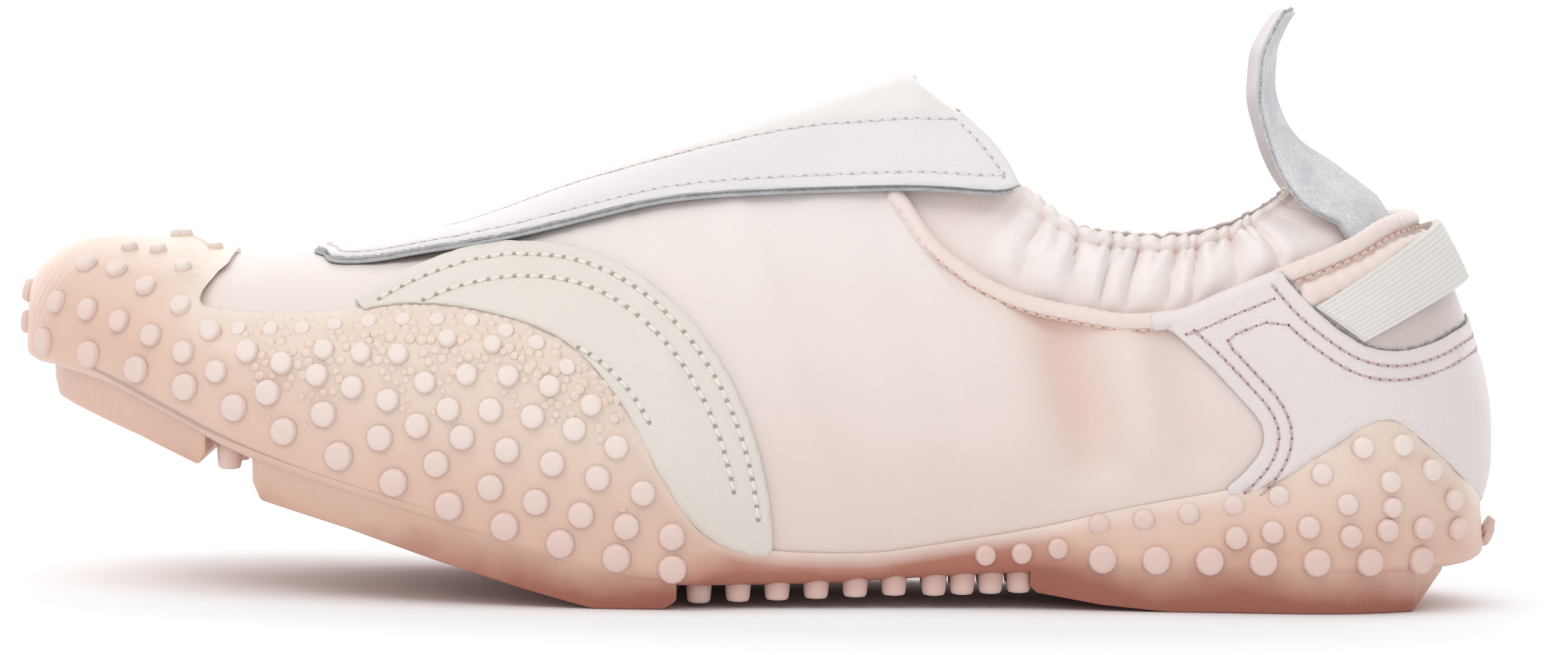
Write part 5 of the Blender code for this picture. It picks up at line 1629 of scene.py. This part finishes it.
def collar_folds(edge, t):
    """How far the cloth stands out at each place along and up the collar."""
    length, t = line_length(edge)[:, None], t[None, :]
    x = edge[:, :1]
    s = length + 3.0 * (1 - t) * np.sin(length / 9.0)
    fine = gathers(length, s)
    coarse = pleats(2 * math.pi * s / FOLD_PITCH + 2.5 * wobble(length, 3, 26.0), 0.6)
    uneven = 1 + 0.45 * wobble(length, 11, 9.0)
    gathered = ramp(x, -54, -44) * (1 - 0.8 * ramp(x, -10, -4))
    lower = ramp(t, 0.02, 0.24) * (1 - 0.6 * ramp(t, 0.55, 0.95))
    folds = uneven * (0.75 * ramp(t, 0.30, 0.70) * fine + 1.5 * lower * coarse)
    hem = 0.7 * bell(t, 0.94, 0.05)
    seam = -0.6 * bell(t, HEM_FROM, 0.03)
    broad = 0.5 * wobble(length, 19, 30.0) * ramp(t, 0, 0.4)
    return gathered * (folds + seam + bell(t, 0.40, 0.26)) + hem + broad


def collar_facing(sheet):
    """The directions that face away from the foot's opening."""
    facing = np.cross(np.gradient(sheet, axis=0), np.gradient(sheet, axis=1))
    facing /= np.linalg.norm(facing, axis=-1, keepdims=True) + 1e-9
    outward = (sheet - [OPENING_X, 0.0, 0.0]) * [1, 1, 0]
    return facing * np.sign(np.sum(facing * outward, axis=-1, keepdims=True))


def rounded_rim(front, back, up, count):
    """Rows that round the collar's edge from its front to its back."""
    turn = np.linspace(0, math.pi, count + 2)[1:-1]
    middle, half = (front + back) / 2, (front - back) / 2
    return (middle[:, None] + half[:, None] * np.cos(turn)[None, :, None]
            + up[:, None] * np.sin(turn)[None, :, None] * COLLAR_WALL * 0.5)


def make_gathered_collar():
    t = shares(40)
    sheet, edge = collar_sheet(t)
    facing = collar_facing(sheet)
    relief = np.zeros(sheet.shape[:2])
    relief[:, 2:] = collar_folds(edge, t)
    length, x = line_length(edge)[:, None], edge[:, :1]
    ripple = 0.38 * gathers(length, length) + 0.3 * wobble(length, 31, 9.0)
    gathered = ramp(x, -56, -47) * ramp(x, -3, -9)
    front = sheet + facing * relief[..., None]
    front[:, 2:, 2] += ripple * gathered * ramp(t[None, :], 0.8, 0.95)
    front[edge[:, 1] > 0, 2:, 2] += 0.5 * ramp(t[None, :], 0.4, 1.0)
    back = front - facing * COLLAR_WALL * 0.8
    rise = np.gradient(sheet, axis=1)
    rim = rounded_rim(front[:, -1], back[:, -1], unit(rise[:, -1]), 4)
    rows = np.concatenate([front, rim, back[:, ::-1]], axis=1)
    collar = new_piece("gathered_collar", rows, tube_faces(*rows.shape[:2]), [SATIN_LINING], merge=0)
    along = np.cumsum(np.linalg.norm(np.gradient(sheet, axis=0), axis=-1), axis=0)
    up_by = np.cumsum(np.linalg.norm(rise, axis=-1), axis=1)
    one = np.stack([along, up_by], axis=-1)
    place = np.concatenate([one, one[:, -1:].repeat(rim.shape[1], axis=1), one[:, ::-1]], axis=1)
    surface_map(collar, place.reshape(-1, 2))
    # painted shade: the collar's colour deepens in its fold valleys, and a little over its rim and
    # inside
    valley_shade = np.clip(0.25 - 0.5 * relief, 0.0, 0.8)
    inner_face_shade = np.full((len(valley_shade), rim.shape[1] + front.shape[1]), 0.15)
    float_attribute(collar, "fold", np.concatenate([valley_shade, inner_face_shade], axis=1).ravel())
    return settle(collar, "satin", "collar")


# ---- flap and its border
def both_sides(line):
    """A line of (u, |v|) on the outer and on the inner side, as (u, v)."""
    return line * [1, OUTER], line * [1, INNER]


UNDERLAY_RADIUS = 0.45  # the suede layer that shows under the border's cut edge
UNDERLAY_DROP = 0.30
UNDERLAY_SINK = 0.1
WINDOW_TRIM = 1.5  # how far the border reaches in over the window
BORDER_NOSE = table(WindowRow,  # seen from above: how far forward the border reaches
    (-185.6, 0.0), (-185.4, 3.0), (-184.6, 6.0), (-183.2, 8.6),
)
BORDER_CORNER = SidePoint(-181.9, 62.1)  # where its nose meets its side
window_half_width = Curve(FRAME_WINDOW, "x", "half_width")


def border_lower():
    """The border's lower edge as (u, |v|), from its nose to its rear corner."""
    nose = np.array(BORDER_NOSE)
    side = smooth_line([BORDER_CORNER] + list(FRAME_LOWER[2:]))
    return np.vstack([np.stack(locate_above(*nose.T), axis=1), located(*side.T)])


def flap_lines():
    """The border's lower edge, the flap's rear edge and the window, as (u, |v|)."""
    rear = smooth_line(FLAP_REAR, 6)
    x = np.linspace(FRAME_WINDOW[1].x, FRAME_WINDOW[-1].x, 60)
    half = window_half_width(x) - WINDOW_TRIM
    return (border_lower(), located(*rear.T), np.stack(locate_above(x, half), axis=1))


def rear_droop(point):
    """The flap's top corner turns down at the rear."""
    return -2.2 * ramp(point[..., 0], -72, -65) * ramp(point[..., 2], 86, 95)


def frame_lift(point):
    """The border's underside: on the last at its nose, on the flap further back."""
    return 0.4 + 1.2 * ramp(point[..., 0], -184, -164) + rear_droop(point)


def flap_lift(point):
    return 0.4 + rear_droop(point)


def window_share(point):
    """1 along the middle of the window, 0 at its edge and outside it."""
    x = point[..., 0]
    away = np.abs(point[..., 1] - centre_at(x))
    return np.clip(1 - away / (window_half_width(x) + 1.0), 0.0, 1.0) * ramp(x, -163, -151)


def flap_wall(point):
    """The satin is padded and swells through the window, and less at its rear edge."""
    swell = 1 - (1 - window_share(point)) ** 2.6
    ripple = 0.12 * wobble(point[..., 0] + 0.8 * point[..., 1], 5, 17.0)
    return 0.9 + 1.9 * swell + ripple * swell


FLAP_FROM = SidePoint(-171.0, 64.0)  # the flap's satin starts here, under the border
FLAP_TUCK = 0.045  # how far it reaches up from the border's lower edge, as |v|
BESIDE_MIDDLE = 0.004  # |v| under which a point is left out at the middle line


def make_flap():
    lower, rear, _ = flap_lines()
    lower = lower[lower[:, 0] > locate(*FLAP_FROM)[0]][:-1] - [0, FLAP_TUCK]
    line = np.vstack([lower, rear[:-1]])
    outer, inner = both_sides(line[line[:, 1] > BESIDE_MIDDLE])
    # the flap's face takes the satin painted paler: a painted highlight
    flap = patch("satin_flap", np.vstack([outer, inner[::-1]]), flap_lift, flap_wall,
                 [SATIN_PAINTED_PALER, SATIN_TRIM], FLAP_CUT)
    return settle(flap, "satin", "tongue")


def make_border():
    lower, rear, window = flap_lines()
    rear = rear[rear[:, 1] > np.interp(rear[:, 0], window[:, 0], window[:, 1])]
    inner_edge = window[window[:, 0] < rear[-1, 0] + 0.002][::-1]
    side = np.vstack([lower[1:-1], rear, inner_edge[:-1]])
    outer, inner = both_sides(side)
    outline = np.vstack([lower[:1], outer, inner_edge[-1:] * [1, 0], inner[::-1]])
    border = patch("leather_border", outline, frame_lift, FRAME_WALL, [BORDER_LEATHER, RAW_EDGE],
                   BORDER_CUT, seams=[path for path, _ in border_rows()])
    return settle(border, "pink_leather", "tongue_frame")


BORDER_STITCH = Stitch(2.2, 1.8, 0.52)
ROW_SINK = 0.1  # how deep a row of stitches lies in its layer's face
LOWER_ROW = 2.2  # from the border's lower edge to its stitches
LOWER_ROW_END = -54.2
SATIN_ROW = 1.9  # from the window's edge to the stitches beside it
REAR_ROW = 2.4  # from the border's rear edge to its stitches
REAR_ROW_FOOT = 79.8  # where the rear row meets the lower one


def border_loop(inset, lift, last_x):
    """A path inside the border's lower edge, from one rear corner round its nose to the other."""
    line = offset_line(even_line(border_lower() * DOMAIN, 1.0), -inset) / DOMAIN
    x = skin_point(*line.T)[:, 0]
    line = line[(line[:, 1] > 0.01) & (x < last_x)]
    outer, inner = both_sides(line)
    u, v = np.vstack([outer[::-1], inner]).T
    return laid(u, v, frame_lift(skin_point(u, v)) + lift)


def make_border_underlay():
    """A strip of blue-grey suede along the border's lower edge."""
    path, up = border_loop(-UNDERLAY_DROP, -UNDERLAY_SINK, FRAME_LOWER[-1].x - 1.5)
    strip = bead("border_underlay", path, up, UNDERLAY_RADIUS, 0.75, FUZZ)
    return settle(strip, "pink_leather")


def border_rows():
    """Along the border's lower edge, along the satin and down the rear edge."""
    lift = FRAME_WALL - ROW_SINK
    rows = [border_loop(LOWER_ROW, lift, LOWER_ROW_END)]
    _, rear, window = flap_lines()
    along = offset_line(window * DOMAIN, SATIN_ROW) / DOMAIN
    down = offset_line(rear * DOMAIN, -REAR_ROW) / DOMAIN
    joined_part = along[:, 0] < np.interp(along[:, 1], down[::-1, 1], down[::-1, 0])
    below = down[:, 1] > np.interp(down[:, 0], along[:, 0], along[:, 1])
    low = skin_point(*down.T)[:, 2] > REAR_ROW_FOOT
    for side in (OUTER, INNER):
        for line in (along[joined_part], down[below & low][::-1]):
            u, v = line[:, 0], side * line[:, 1]
            rows.append(laid(u, v, frame_lift(skin_point(u, v)) + lift))
    return rows


# ---- mudguards
GUARD_STITCH = Stitch(2.55, 2.3, 0.95)
GuardRow = namedtuple("GuardRow", "inset first last")
GUARD_ROWS = table(GuardRow, (2.4, 4, 6), (6.2, 12, 12))  # beside the free edge
FRONT_ROW = 17.0  # the short row inside them
FRONT_ROW_END = SidePoint(-134.0, 34.0)
PANEL_LIFT = 0.3
PANEL_INSET = 1.2  # how far a panel goes in under the rubber's edge


def mudguard_lines():
    """Its free edge and the edge that lies along the rubber, seen from the side."""
    crest, front, rear = MUDGUARD_CREST, MUDGUARD_FRONT, MUDGUARD_REAR
    share = np.linspace(1.0, 0.0, 20)
    rise = np.stack([crest.x - (crest.x - front.x) * share,
                     crest.z - (crest.z - front.z) * share ** 2], axis=1)
    fall = arc((crest.x, rear.z), rear.x - crest.x, crest.z - rear.z, 90, 0, 40)
    edge = offset_line(wall_edge_line(), -PANEL_INSET)
    low = edge[(edge[:, 0] > front.x + 1.0) & (edge[:, 0] < rear.x - 1.0) & (edge[:, 1] < 58)]
    return np.vstack([rise, fall[1:-1]]), low


def guard_lift(point):
    return PANEL_LIFT + satin_relief(point)


def make_mudguards():
    """The cream leather panels behind the rubber's wave."""
    free, low = mudguard_lines()
    outline = np.vstack([free, low[::-1]])
    u, v = locate(*outline.T)
    for side, word in SIDES:
        guard = patch("cream_mudguard_" + word, np.stack([u, side * v], axis=1), guard_lift,
                      PANEL_WALL, [CREAM_LEATHER, CREAM_EDGE], LEATHER_CUT,
                      seams=[path for path, _ in mudguard_rows(side)])
        settle(guard, "cream_leather", "side_panel_" + word)


def mudguard_rows(side):
    """Two rows beside the free edge, and a short one inside them."""
    free = even_line(mudguard_lines()[0], 1.0)
    lines = [offset_line(free, -row.inset)[row.first:len(free) - row.last] for row in GUARD_ROWS]
    short = offset_line(free, -FRONT_ROW)
    lines.append(short[(short[:, 0] > FRONT_ROW_END.x) & (short[:, 1] > FRONT_ROW_END.z)])
    return [side_path(line, side, satin_relief(np.insert(line, 1, 0.0, axis=1)) + PANEL_LIFT
                      + PANEL_WALL - ROW_SINK) for line in lines]


# ---- heel counter
def round_back(line):
    """A side-view line on the outer side, carried on round the heel to the inner."""
    u, v = locate(*line.T)
    order = np.argsort(u)
    u, v = u[order], v[order]
    keep = u < 0.9985
    last_v = np.interp(1.0, u, v)
    u, v = np.append(u[keep], 1.0), np.append(v[keep], last_v)
    return np.stack([np.concatenate([u, 2 - u[-2::-1]]), -np.concatenate([v, v[-2::-1]])], axis=1)


COUNTER_STITCH = Stitch(2.05, 1.7, 0.56)
EDGE_ROW = 2.8  # from the counter's free edges to their stitches
TOP_ROW = 3.6  # the same below its binding
INNER_FRONT, INNER_TOP, INNER_NOTCH = 5.2, 7.0, 5.4  # the inner row's distances


def counter_lines():
    front = smooth_line(COUNTER_FRONT)
    edge = offset_line(wall_edge_line(), -PANEL_INSET)
    low = edge[edge[:, 0] > COUNTER_FRONT[-1].x + 0.6]
    notch = smooth_line(COUNTER_NOTCH, 4)
    top = smooth_line(TOPLINE, 4)
    top = top[(top[:, 0] > COUNTER_FRONT[0].x + 1) & (top[:, 0] < notch[-1][0] - 0.6)]
    return front, low, notch, top


def make_counter():
    """The leather counter, one piece round the heel."""
    front, low, notch, top = counter_lines()
    upper_edge = round_back(np.vstack([top, notch[::-1]]))
    u, v = locate(*front.T)
    front_outer = np.stack([u, -v], axis=1)
    front_inner = np.stack([2 - u, -v], axis=1)
    outline = np.vstack([front_outer, round_back(low), front_inner[::-1], upper_edge[::-1]])
    counter = patch("leather_counter", outline, PANEL_LIFT, PANEL_WALL, [PINK_LEATHER, RAW_EDGE],
                    LEATHER_CUT, seams=[path for path, _ in counter_rows()])
    return settle(counter, "pink_leather", "heel_counter")


def around_heel(line, lift):
    """A side-view line laid on the last from the outer side round to the inner."""
    place = round_back(line)
    return laid(*place.T, lift)


def counter_rows():
    """A row along each free edge, and an inner row that frames the counter's middle."""
    lift = PANEL_LIFT + PANEL_WALL - ROW_SINK
    front = even_line(smooth_line(COUNTER_FRONT), 1.0)
    notch = even_line(smooth_line(COUNTER_NOTCH, 4), 1.0)[::-1]
    x = np.arange(-21.0, -4.0, 1.0)
    top = np.stack([x, topline_height(x)], axis=1)
    outer_notch = offset_line(notch, -EDGE_ROW)
    inner_notch = offset_line(notch, -INNER_NOTCH)
    inner_notch = inner_notch[(inner_notch[:, 0] > -1.5) & (inner_notch[:, 0] < 40.0)]
    inner_front = offset_line(front, INNER_FRONT)
    below_top = inner_front[:, 1] < topline_height(inner_front[:, 0]) - INNER_TOP - 0.6
    inner_front = inner_front[below_top][::-1]
    inner_top = offset_line(top, -INNER_TOP)
    inner_top = inner_top[(inner_top[:, 0] > inner_front[-1, 0] + 0.4) & (inner_top[:, 0] < -5.0)]
    inner = np.vstack([inner_front[2:], inner_top, inner_notch[:1]])
    rows = [around_heel(outer_notch[outer_notch[:, 0] < 40.0], lift), around_heel(inner_notch, lift)]
    for side in (OUTER, INNER):
        rows.append(side_path(inner, side, lift))
        rows.append(side_path(offset_line(front, EDGE_ROW)[4:-2], side, lift))
        rows.append(side_path(offset_line(top, -TOP_ROW), side, lift))
    return rows


# ---- rolled edges round the opening
ROLL_RADIUS = 1.5
ROLL_LIFT = -0.5
BINDING_RADIUS = ROLL_RADIUS + 0.3
PIPING_STITCH = Stitch(2.1, 1.65, 0.54)
HEEL_STITCH = Stitch(2.1, 1.6, 0.54)
Gather = namedtuple("Gather", "radius pitch depth seed")  # how a bead's stitches draw it in
PIPING_GATHER = Gather(1.75, 2.1, 0.035, 2)
HEEL_GATHER = Gather(BINDING_RADIUS, 2.1, 0.05, 4)
PUFF_GATHER = Gather(2.6, 3.4, 0.06, 6)


def topline_path(x_first, x_last, side, lift, below):
    """Along the topline, at a distance below it."""
    x = np.linspace(x_first, x_last, int((x_last - x_first) * 2))
    u, v = locate(x, topline_height(x) - below)
    return laid(u, side * v, lift)


def heel_path(below, lift, x_first=-2.8):
    """Round the heel, at a distance below the topline."""
    u, side = round_heel(np.linspace(locate(x_first, topline_height(x_first))[0], 1.0, 60))
    v = topline_v(u)
    top = skin_point(u, side * v)[..., 2]
    for _ in range(4):
        v = v + 0.008 * (skin_point(u, side * v)[..., 2] - (top - below))
    return laid(u, side * v, lift)


def puckered(path, gather):
    """A bead's radius along its path, gathered a little by its stitches."""
    length = line_length(path)
    return gather.radius * (1 + gather.depth * np.sin(2 * math.pi * length / gather.pitch)
                            + 0.5 * gather.depth * wobble(length, gather.seed, 9.0))


def make_rolls():
    """The piping, the counter's folded edge, the heel's binding and the puff below it."""
    for side, word in SIDES:
        path, up = topline_path(-75.6, -25.6, side, ROLL_LIFT, 0.3)
        piping = bead("satin_piping_" + word, path, up, puckered(path, PIPING_GATHER), 0.8, SATIN_TRIM)
        settle(piping, "satin", "topline_piping_" + word)
        path, up = topline_path(-25.9, -2.9, side, 0.1, 0.4)
        binding = bead("leather_binding_" + word, path, up, BINDING_RADIUS, 0.85, PINK_LEATHER_TRIM)
        settle(binding, "pink_leather", "counter_binding_" + word)
    path, up = heel_path(0.2, ROLL_LIFT)
    heel = bead("satin_heel_binding", path, up, puckered(path, HEEL_GATHER), 0.9, SATIN_TRIM)
    settle(heel, "satin", "heel_binding")
    path, up = heel_path(4.9, ROLL_LIFT, x_first=0.5)
    puff = bead("satin_heel_puff", path, up, puckered(path, PUFF_GATHER), 0.85, SATIN_TRIM)
    settle(puff, "satin")


# ---- elastic webbing
WebEdge = namedtuple("WebEdge", "side_x side_z back_z")
WEB_TOP = WebEdge(3.6, 58.6, 72.0)
WEB_BOTTOM = WebEdge(13.0, 51.8, 61.2)
WEB_SIDE_LIFT = 0.9
WEB_BACK_LIFT = 2.9
WEB_WALL = 1.4
WEB_RIBS = 13
RIB_DEPTH = 0.20
WEB_LENGTH, WEB_WIDTH = 90.0, 11.0  # its size laid flat, for its weave
SELVEDGE = 0.35  # the thicker cord along each of its edges


def web_surface(s, t, lift):
    """s runs from side to side round the heel, t from the band's top to its bottom."""
    top, bottom = WEB_TOP, WEB_BOTTOM
    spans = [1 - locate(edge.side_x, edge.side_z)[0] for edge in (top, bottom)]
    side_z = top.side_z * (1 - t) + bottom.side_z * t
    back_z = top.back_z * (1 - t) + bottom.back_z * t
    u = 1 - (spans[0] * (1 - t) + spans[1] * t) * np.abs(s)
    z = back_z + (side_z - back_z) * s * s
    end = LAST[-1]
    high = (z - end.foot) / (end.ridge - end.foot)
    wide = (1 - high ** end.power) ** (1 / end.power)
    v = np.where(s < 0, -1, 1) * (1 - np.arctan2(high, wide) / (math.pi / 2))
    rise = WEB_SIDE_LIFT + (WEB_BACK_LIFT - WEB_SIDE_LIFT) * ramp(np.abs(s), 1.0, 0.2)
    return skin(u, v, rise + lift)


def make_band():
    """The elastic webbing: its ribs, its selvedges and a slight sag."""
    s = np.linspace(-1.0, 1.0, 120)[:, None]
    t = shares(10 * WEB_RIBS + 1)[None, :]
    off_middle = np.abs(2 * t - 1)
    ribs = RIB_DEPTH * np.abs(np.sin(math.pi * WEB_RIBS * t))
    rounded = np.sqrt(np.clip(1 - off_middle ** 14, 0, 1))
    sag = 0.25 * wobble(s, 9, 0.6)
    front = web_surface(s, t, (WEB_WALL + ribs) * rounded + SELVEDGE * bell(off_middle, 0.95, 0.05)
                        + sag)
    back = web_surface(s, t, -WEB_WALL * 0.1 * rounded + sag)
    rows = np.concatenate([front, back[:, ::-1]], axis=1)
    band = new_piece("elastic_webbing", rows, tube_faces(*rows.shape[:2]), [WEBBING], merge=0)
    one = np.stack(np.broadcast_arrays(s * WEB_LENGTH / 2, t * WEB_WIDTH), axis=-1)
    surface_map(band, np.concatenate([one, one[:, ::-1]], axis=1).reshape(-1, 2))
    return settle(band, "webbing", "heel_webbing")


PANEL_TOP = table(SidePoint,
    (-1.0, 60.2), (6.0, 62.0), (14.0, 64.0), (22.0, 66.0), (32.0, 67.0), (60.0, 67.0),
)
PANEL_FOOT = table(SidePoint,
    (-1.0, 55.0), (8.0, 50.4), (14.0, 47.4), (20.0, 46.6), (27.0, 48.0), (37.0, 51.0),
    (60.0, 52.0),
)


def make_heel_panel():
    """The padded satin that shows in the counter's notch, under the webbing."""
    upper_edge, lower_edge = (round_back(smooth_line(line)) for line in (PANEL_TOP, PANEL_FOOT))
    outline = np.vstack([lower_edge, upper_edge[::-1]])
    panel = patch("padded_heel_panel", outline, -0.2, 1.0, [HEEL_SATIN, HEEL_SATIN], PADDED_CUT)
    return settle(panel, "satin")


# ---- pull tab
TabRow = namedtuple("TabRow", "height centre_x centre_z edge_x edge_z half_width")
TAB = table(TabRow,
    (0.0, 17.0, 77.6, 9.2, 73.2, 17.0),
    (1.0, 8.6, 83.6, 2.6, 76.6, 16.6),
    (2.0, 2.0, 88.0, -1.6, 82.0, 15.6),
    (3.0, -1.6, 93.2, -4.4, 89.0, 15.0),
    (4.0, -3.2, 99.4, -6.2, 96.8, 15.0),
    (5.0, -2.9, 105.2, -5.9, 103.6, 14.4),
    (6.0, -1.2, 110.2, -3.8, 109.0, 12.6),
    (7.0, 0.6, 113.2, -1.5, 112.7, 9.2),
)
TAB_WALL = 1.7
TAB_ROOT_LIFT = -3.8
TAB_SIDE = SidePoint(14.5, 69.0)  # where its side edges meet the topline
TAB_ROOTS = (0.085, 0.03)  # rows below the topline, as |v|, where it is sewn in
TAB_BEVEL = 0.45


def tab_sheet(s, count):
    """The tab's middle surface, from inside the topline up to its rounded tip."""
    span = 1 - locate(*TAB_SIDE)[0]
    u = 1 - span * np.abs(s)
    rows = [skin(u, np.where(s < 0, -1, 1) * (topline_v(u) + root), TAB_ROOT_LIFT)
            for root in TAB_ROOTS]
    at = np.linspace(0.0, TAB[-1].height, count)
    column = {name: Curve(TAB, "height", name)(at) for name in TabRow._fields[1:]}
    for k in range(count):
        x = column["centre_x"][k] + (column["edge_x"][k] - column["centre_x"][k]) * s * s
        z = column["centre_z"][k] + (column["edge_z"][k] - column["centre_z"][k]) * s * s
        rows.append(np.stack([x, s * column["half_width"][k], z], axis=-1))
    return np.array(rows)


def make_tab():
    """The pull tab: suede behind, leather in front and nap along its cut edge."""
    sheet = tab_sheet(np.linspace(-1.0, 1.0, 41), 46)
    tab = new_piece("suede_pull_tab", sheet, grid_faces(*sheet.shape[:2]).tolist(),
                    [SUEDE, PINK_LEATHER_TRIM, SUEDE_NAP], merge=0)
    with editing(tab) as bm:
        face_outwards(bm, lambda face: face.normal.x)
    wall = tab.modifiers.new("Wall", "SOLIDIFY")
    wall.thickness = TAB_WALL * MM
    wall.offset = 0.0
    wall.material_offset = 1
    wall.material_offset_rim = 2
    apply_modifiers(tab)
    round_edges(tab, TAB_BEVEL, 45)
    tab.data.set_sharp_from_angle(angle=math.radians(60))
    return settle(tab, "suede", "pull_tab")


# ---- raw fibres
FIBRE_WIDTH = 0.09
FIBRE_SPREAD = 0.5
FIBRE_SCATTER = 0.12  # how far its roots lie from the edge's line
Fringe = namedtuple("Fringe", "count length seed")
BORDER_FRINGE = Fringe(2600, 0.55, 21)
NOTCH_FRINGE = Fringe(2600, 0.7, 22)
TAB_FRINGE = Fringe(2400, 0.6, 23)


def edge_fibres(name, line_points, away, fringe, material, slot):
    """Short hairs along an edge, which lean away from it."""
    both = even_line(np.hstack([line_points, away]), 0.05)
    rng = np.random.default_rng(fringe.seed)
    pick = rng.integers(0, len(both), fringe.count)
    points = both[pick, :3] + rng.normal(0, FIBRE_SCATTER, (fringe.count, 3))
    return fuzz(name, points, both[pick, 3:], fringe.length, material, slot, fringe.seed)


def make_fuzz():
    """Hairs on the border's cut edge, the counter's notch and the tab's rim."""
    down = np.array([0.0, 0.0, -1.0])
    line = even_line(smooth_line(FRAME_LOWER[1:]), 0.5)
    for side, word in SIDES:
        lift = frame_lift(np.insert(line, 1, 0.0, axis=1)) + 0.3
        points, normal = side_path(line, side, lift)
        edge_fibres("border_fuzz_" + word, points, normal * 0.4 + down * 0.8, BORDER_FRINGE,
                    FUZZ, "pink_leather")
    points, normal = around_heel(smooth_line(COUNTER_NOTCH, 4), 0.9)
    edge_fibres("notch_fuzz", points, normal * 0.3 - down * 0.9, NOTCH_FRINGE, FUZZ, "pink_leather")
    sheet = tab_sheet(np.linspace(-1.0, 1.0, 61), 80)
    rim = np.vstack([sheet[2:, 0], sheet[-1], sheet[:1:-1, -1]])
    middle = sheet[2:].mean(axis=1)
    away = unit(rim - np.vstack([middle, sheet[-1] - [0, 0, 6.0], middle[::-1]]))
    edge_fibres("tab_edge_fuzz", rim, away, TAB_FRINGE, SUEDE_NAP, "suede")


# ---- everything
make_rubber()
NUBS = side_nubs() + middle_nubs() + hanging_nubs()
make_nubs(NUBS)
make_pebbles(NUBS)
make_footbed()
make_satin_upper()
make_gathered_collar()
make_flap()
make_border()
stitching("border_stitches", border_rows(), BORDER_STITCH, PALE_THREAD, "pink_leather")
make_border_underlay()
make_mudguards()
stitching("mudguard_stitches", mudguard_rows(OUTER) + mudguard_rows(INNER), GUARD_STITCH,
          CREAM_THREAD, "cream_leather")
make_counter()
stitching("counter_stitches", counter_rows(), COUNTER_STITCH, MAUVE_THREAD, "pink_leather")
make_heel_panel()
make_rolls()
PIPING_ROWS = [topline_path(-74.4, -27.0, side, 0.42, 1.9) for side in (OUTER, INNER)]
stitching("piping_stitches", PIPING_ROWS, PIPING_STITCH, ROSE_THREAD, "satin")
stitching("heel_binding_stitches", [heel_path(2.0, 0.6)], HEEL_STITCH, ROSE_THREAD, "satin")
make_band()
make_tab()
make_fuzz()


# ---- floor, light, camera
LOOK_AT = Vector((-0.0955, 0.0, 0.0505))
CAMERA_AT = Vector((-0.0955, -1.300, 0.125))
VIEW_WIDTH = 0.301  # metres across the frame at the shoe
CAMERA_ROLL = math.radians(1.06)
SENSOR = 36.0
SHOE_MIDDLE = Vector((-0.10, 0.0, 0.05))


def make_sheet(name, corners, material):
    """A flat four-cornered surface, which isn't part of the shoe."""
    mesh = bpy.data.meshes.new(name)
    mesh.from_pydata(corners, [], [(0, 1, 2, 3)])
    mesh.materials.append(material)
    sheet = placed(name, mesh)


def make_floor():
    material, _, _ = new_finish("studio_floor", (0.945, 0.963, 0.98), 0.9, Specular_IOR_Level=0.1)
    make_sheet("floor", [(-40, -12, 0), (40, -12, 0), (40, 60, 0), (-40, 60, 0)], material)


def area_light(name, place, aim, size, power):
    data = bpy.data.lights.new(name, "AREA")
    data.shape = "RECTANGLE"
    data.size, data.size_y = size
    data.energy = power
    lamp = placed(name, data)
    lamp.location = place
    lamp.rotation_euler = (aim - Vector(place)).to_track_quat("-Z", "Y").to_euler()


def make_backdrop():
    material, _, _ = new_finish("lit_backdrop", (1.0, 1.0, 1.0), 0.9,
                                Emission_Color=(1.0, 1.0, 1.0, 1.0), Emission_Strength=1.0)
    make_sheet("backdrop", [(-9, 5, -0.01), (9, 5, -0.01), (9, 5, 8), (-9, 5, 8)], material)


def make_lights():
    """Soft light from all round, from two softboxes and from overhead."""
    world = bpy.data.worlds.new("studio")
    world.use_nodes = True
    back = world.node_tree.nodes["Background"]
    back.inputs["Color"].default_value = (1.0, 1.0, 1.0, 1.0)
    back.inputs["Strength"].default_value = 0.46
    bpy.context.scene.world = world
    area_light("key_softbox", (-0.9, -0.9, 1.4), SHOE_MIDDLE, (1.2, 0.8), 3.6)
    area_light("front_softbox", (-0.1, -2.2, 0.7), SHOE_MIDDLE, (2.4, 1.0), 7.5)
    sky = bpy.data.lights.new("overhead_light", "SUN")
    sky.energy = 1.03
    sky.angle = math.radians(70)
    overhead = placed("overhead_light", sky)
    overhead.rotation_euler = Vector((0.12, 0.30, -1.0)).to_track_quat("-Z", "Y").to_euler()


def make_camera():
    away = LOOK_AT - CAMERA_AT
    data = bpy.data.cameras.new("camera")
    data.sensor_width = SENSOR
    data.lens = SENSOR * away.length / VIEW_WIDTH
    data.clip_start = 0.05
    data.clip_end = 200.0
    camera = placed("camera", data)
    turn = away.to_track_quat("-Z", "Y").to_matrix().to_4x4()
    roll = Matrix.Rotation(CAMERA_ROLL, 4, "Z")
    camera.matrix_world = Matrix.Translation(CAMERA_AT) @ turn @ roll
    bpy.context.scene.camera = camera


make_floor()
make_backdrop()
make_lights()
make_camera()
bpy.context.scene.view_settings.view_transform = "Standard"
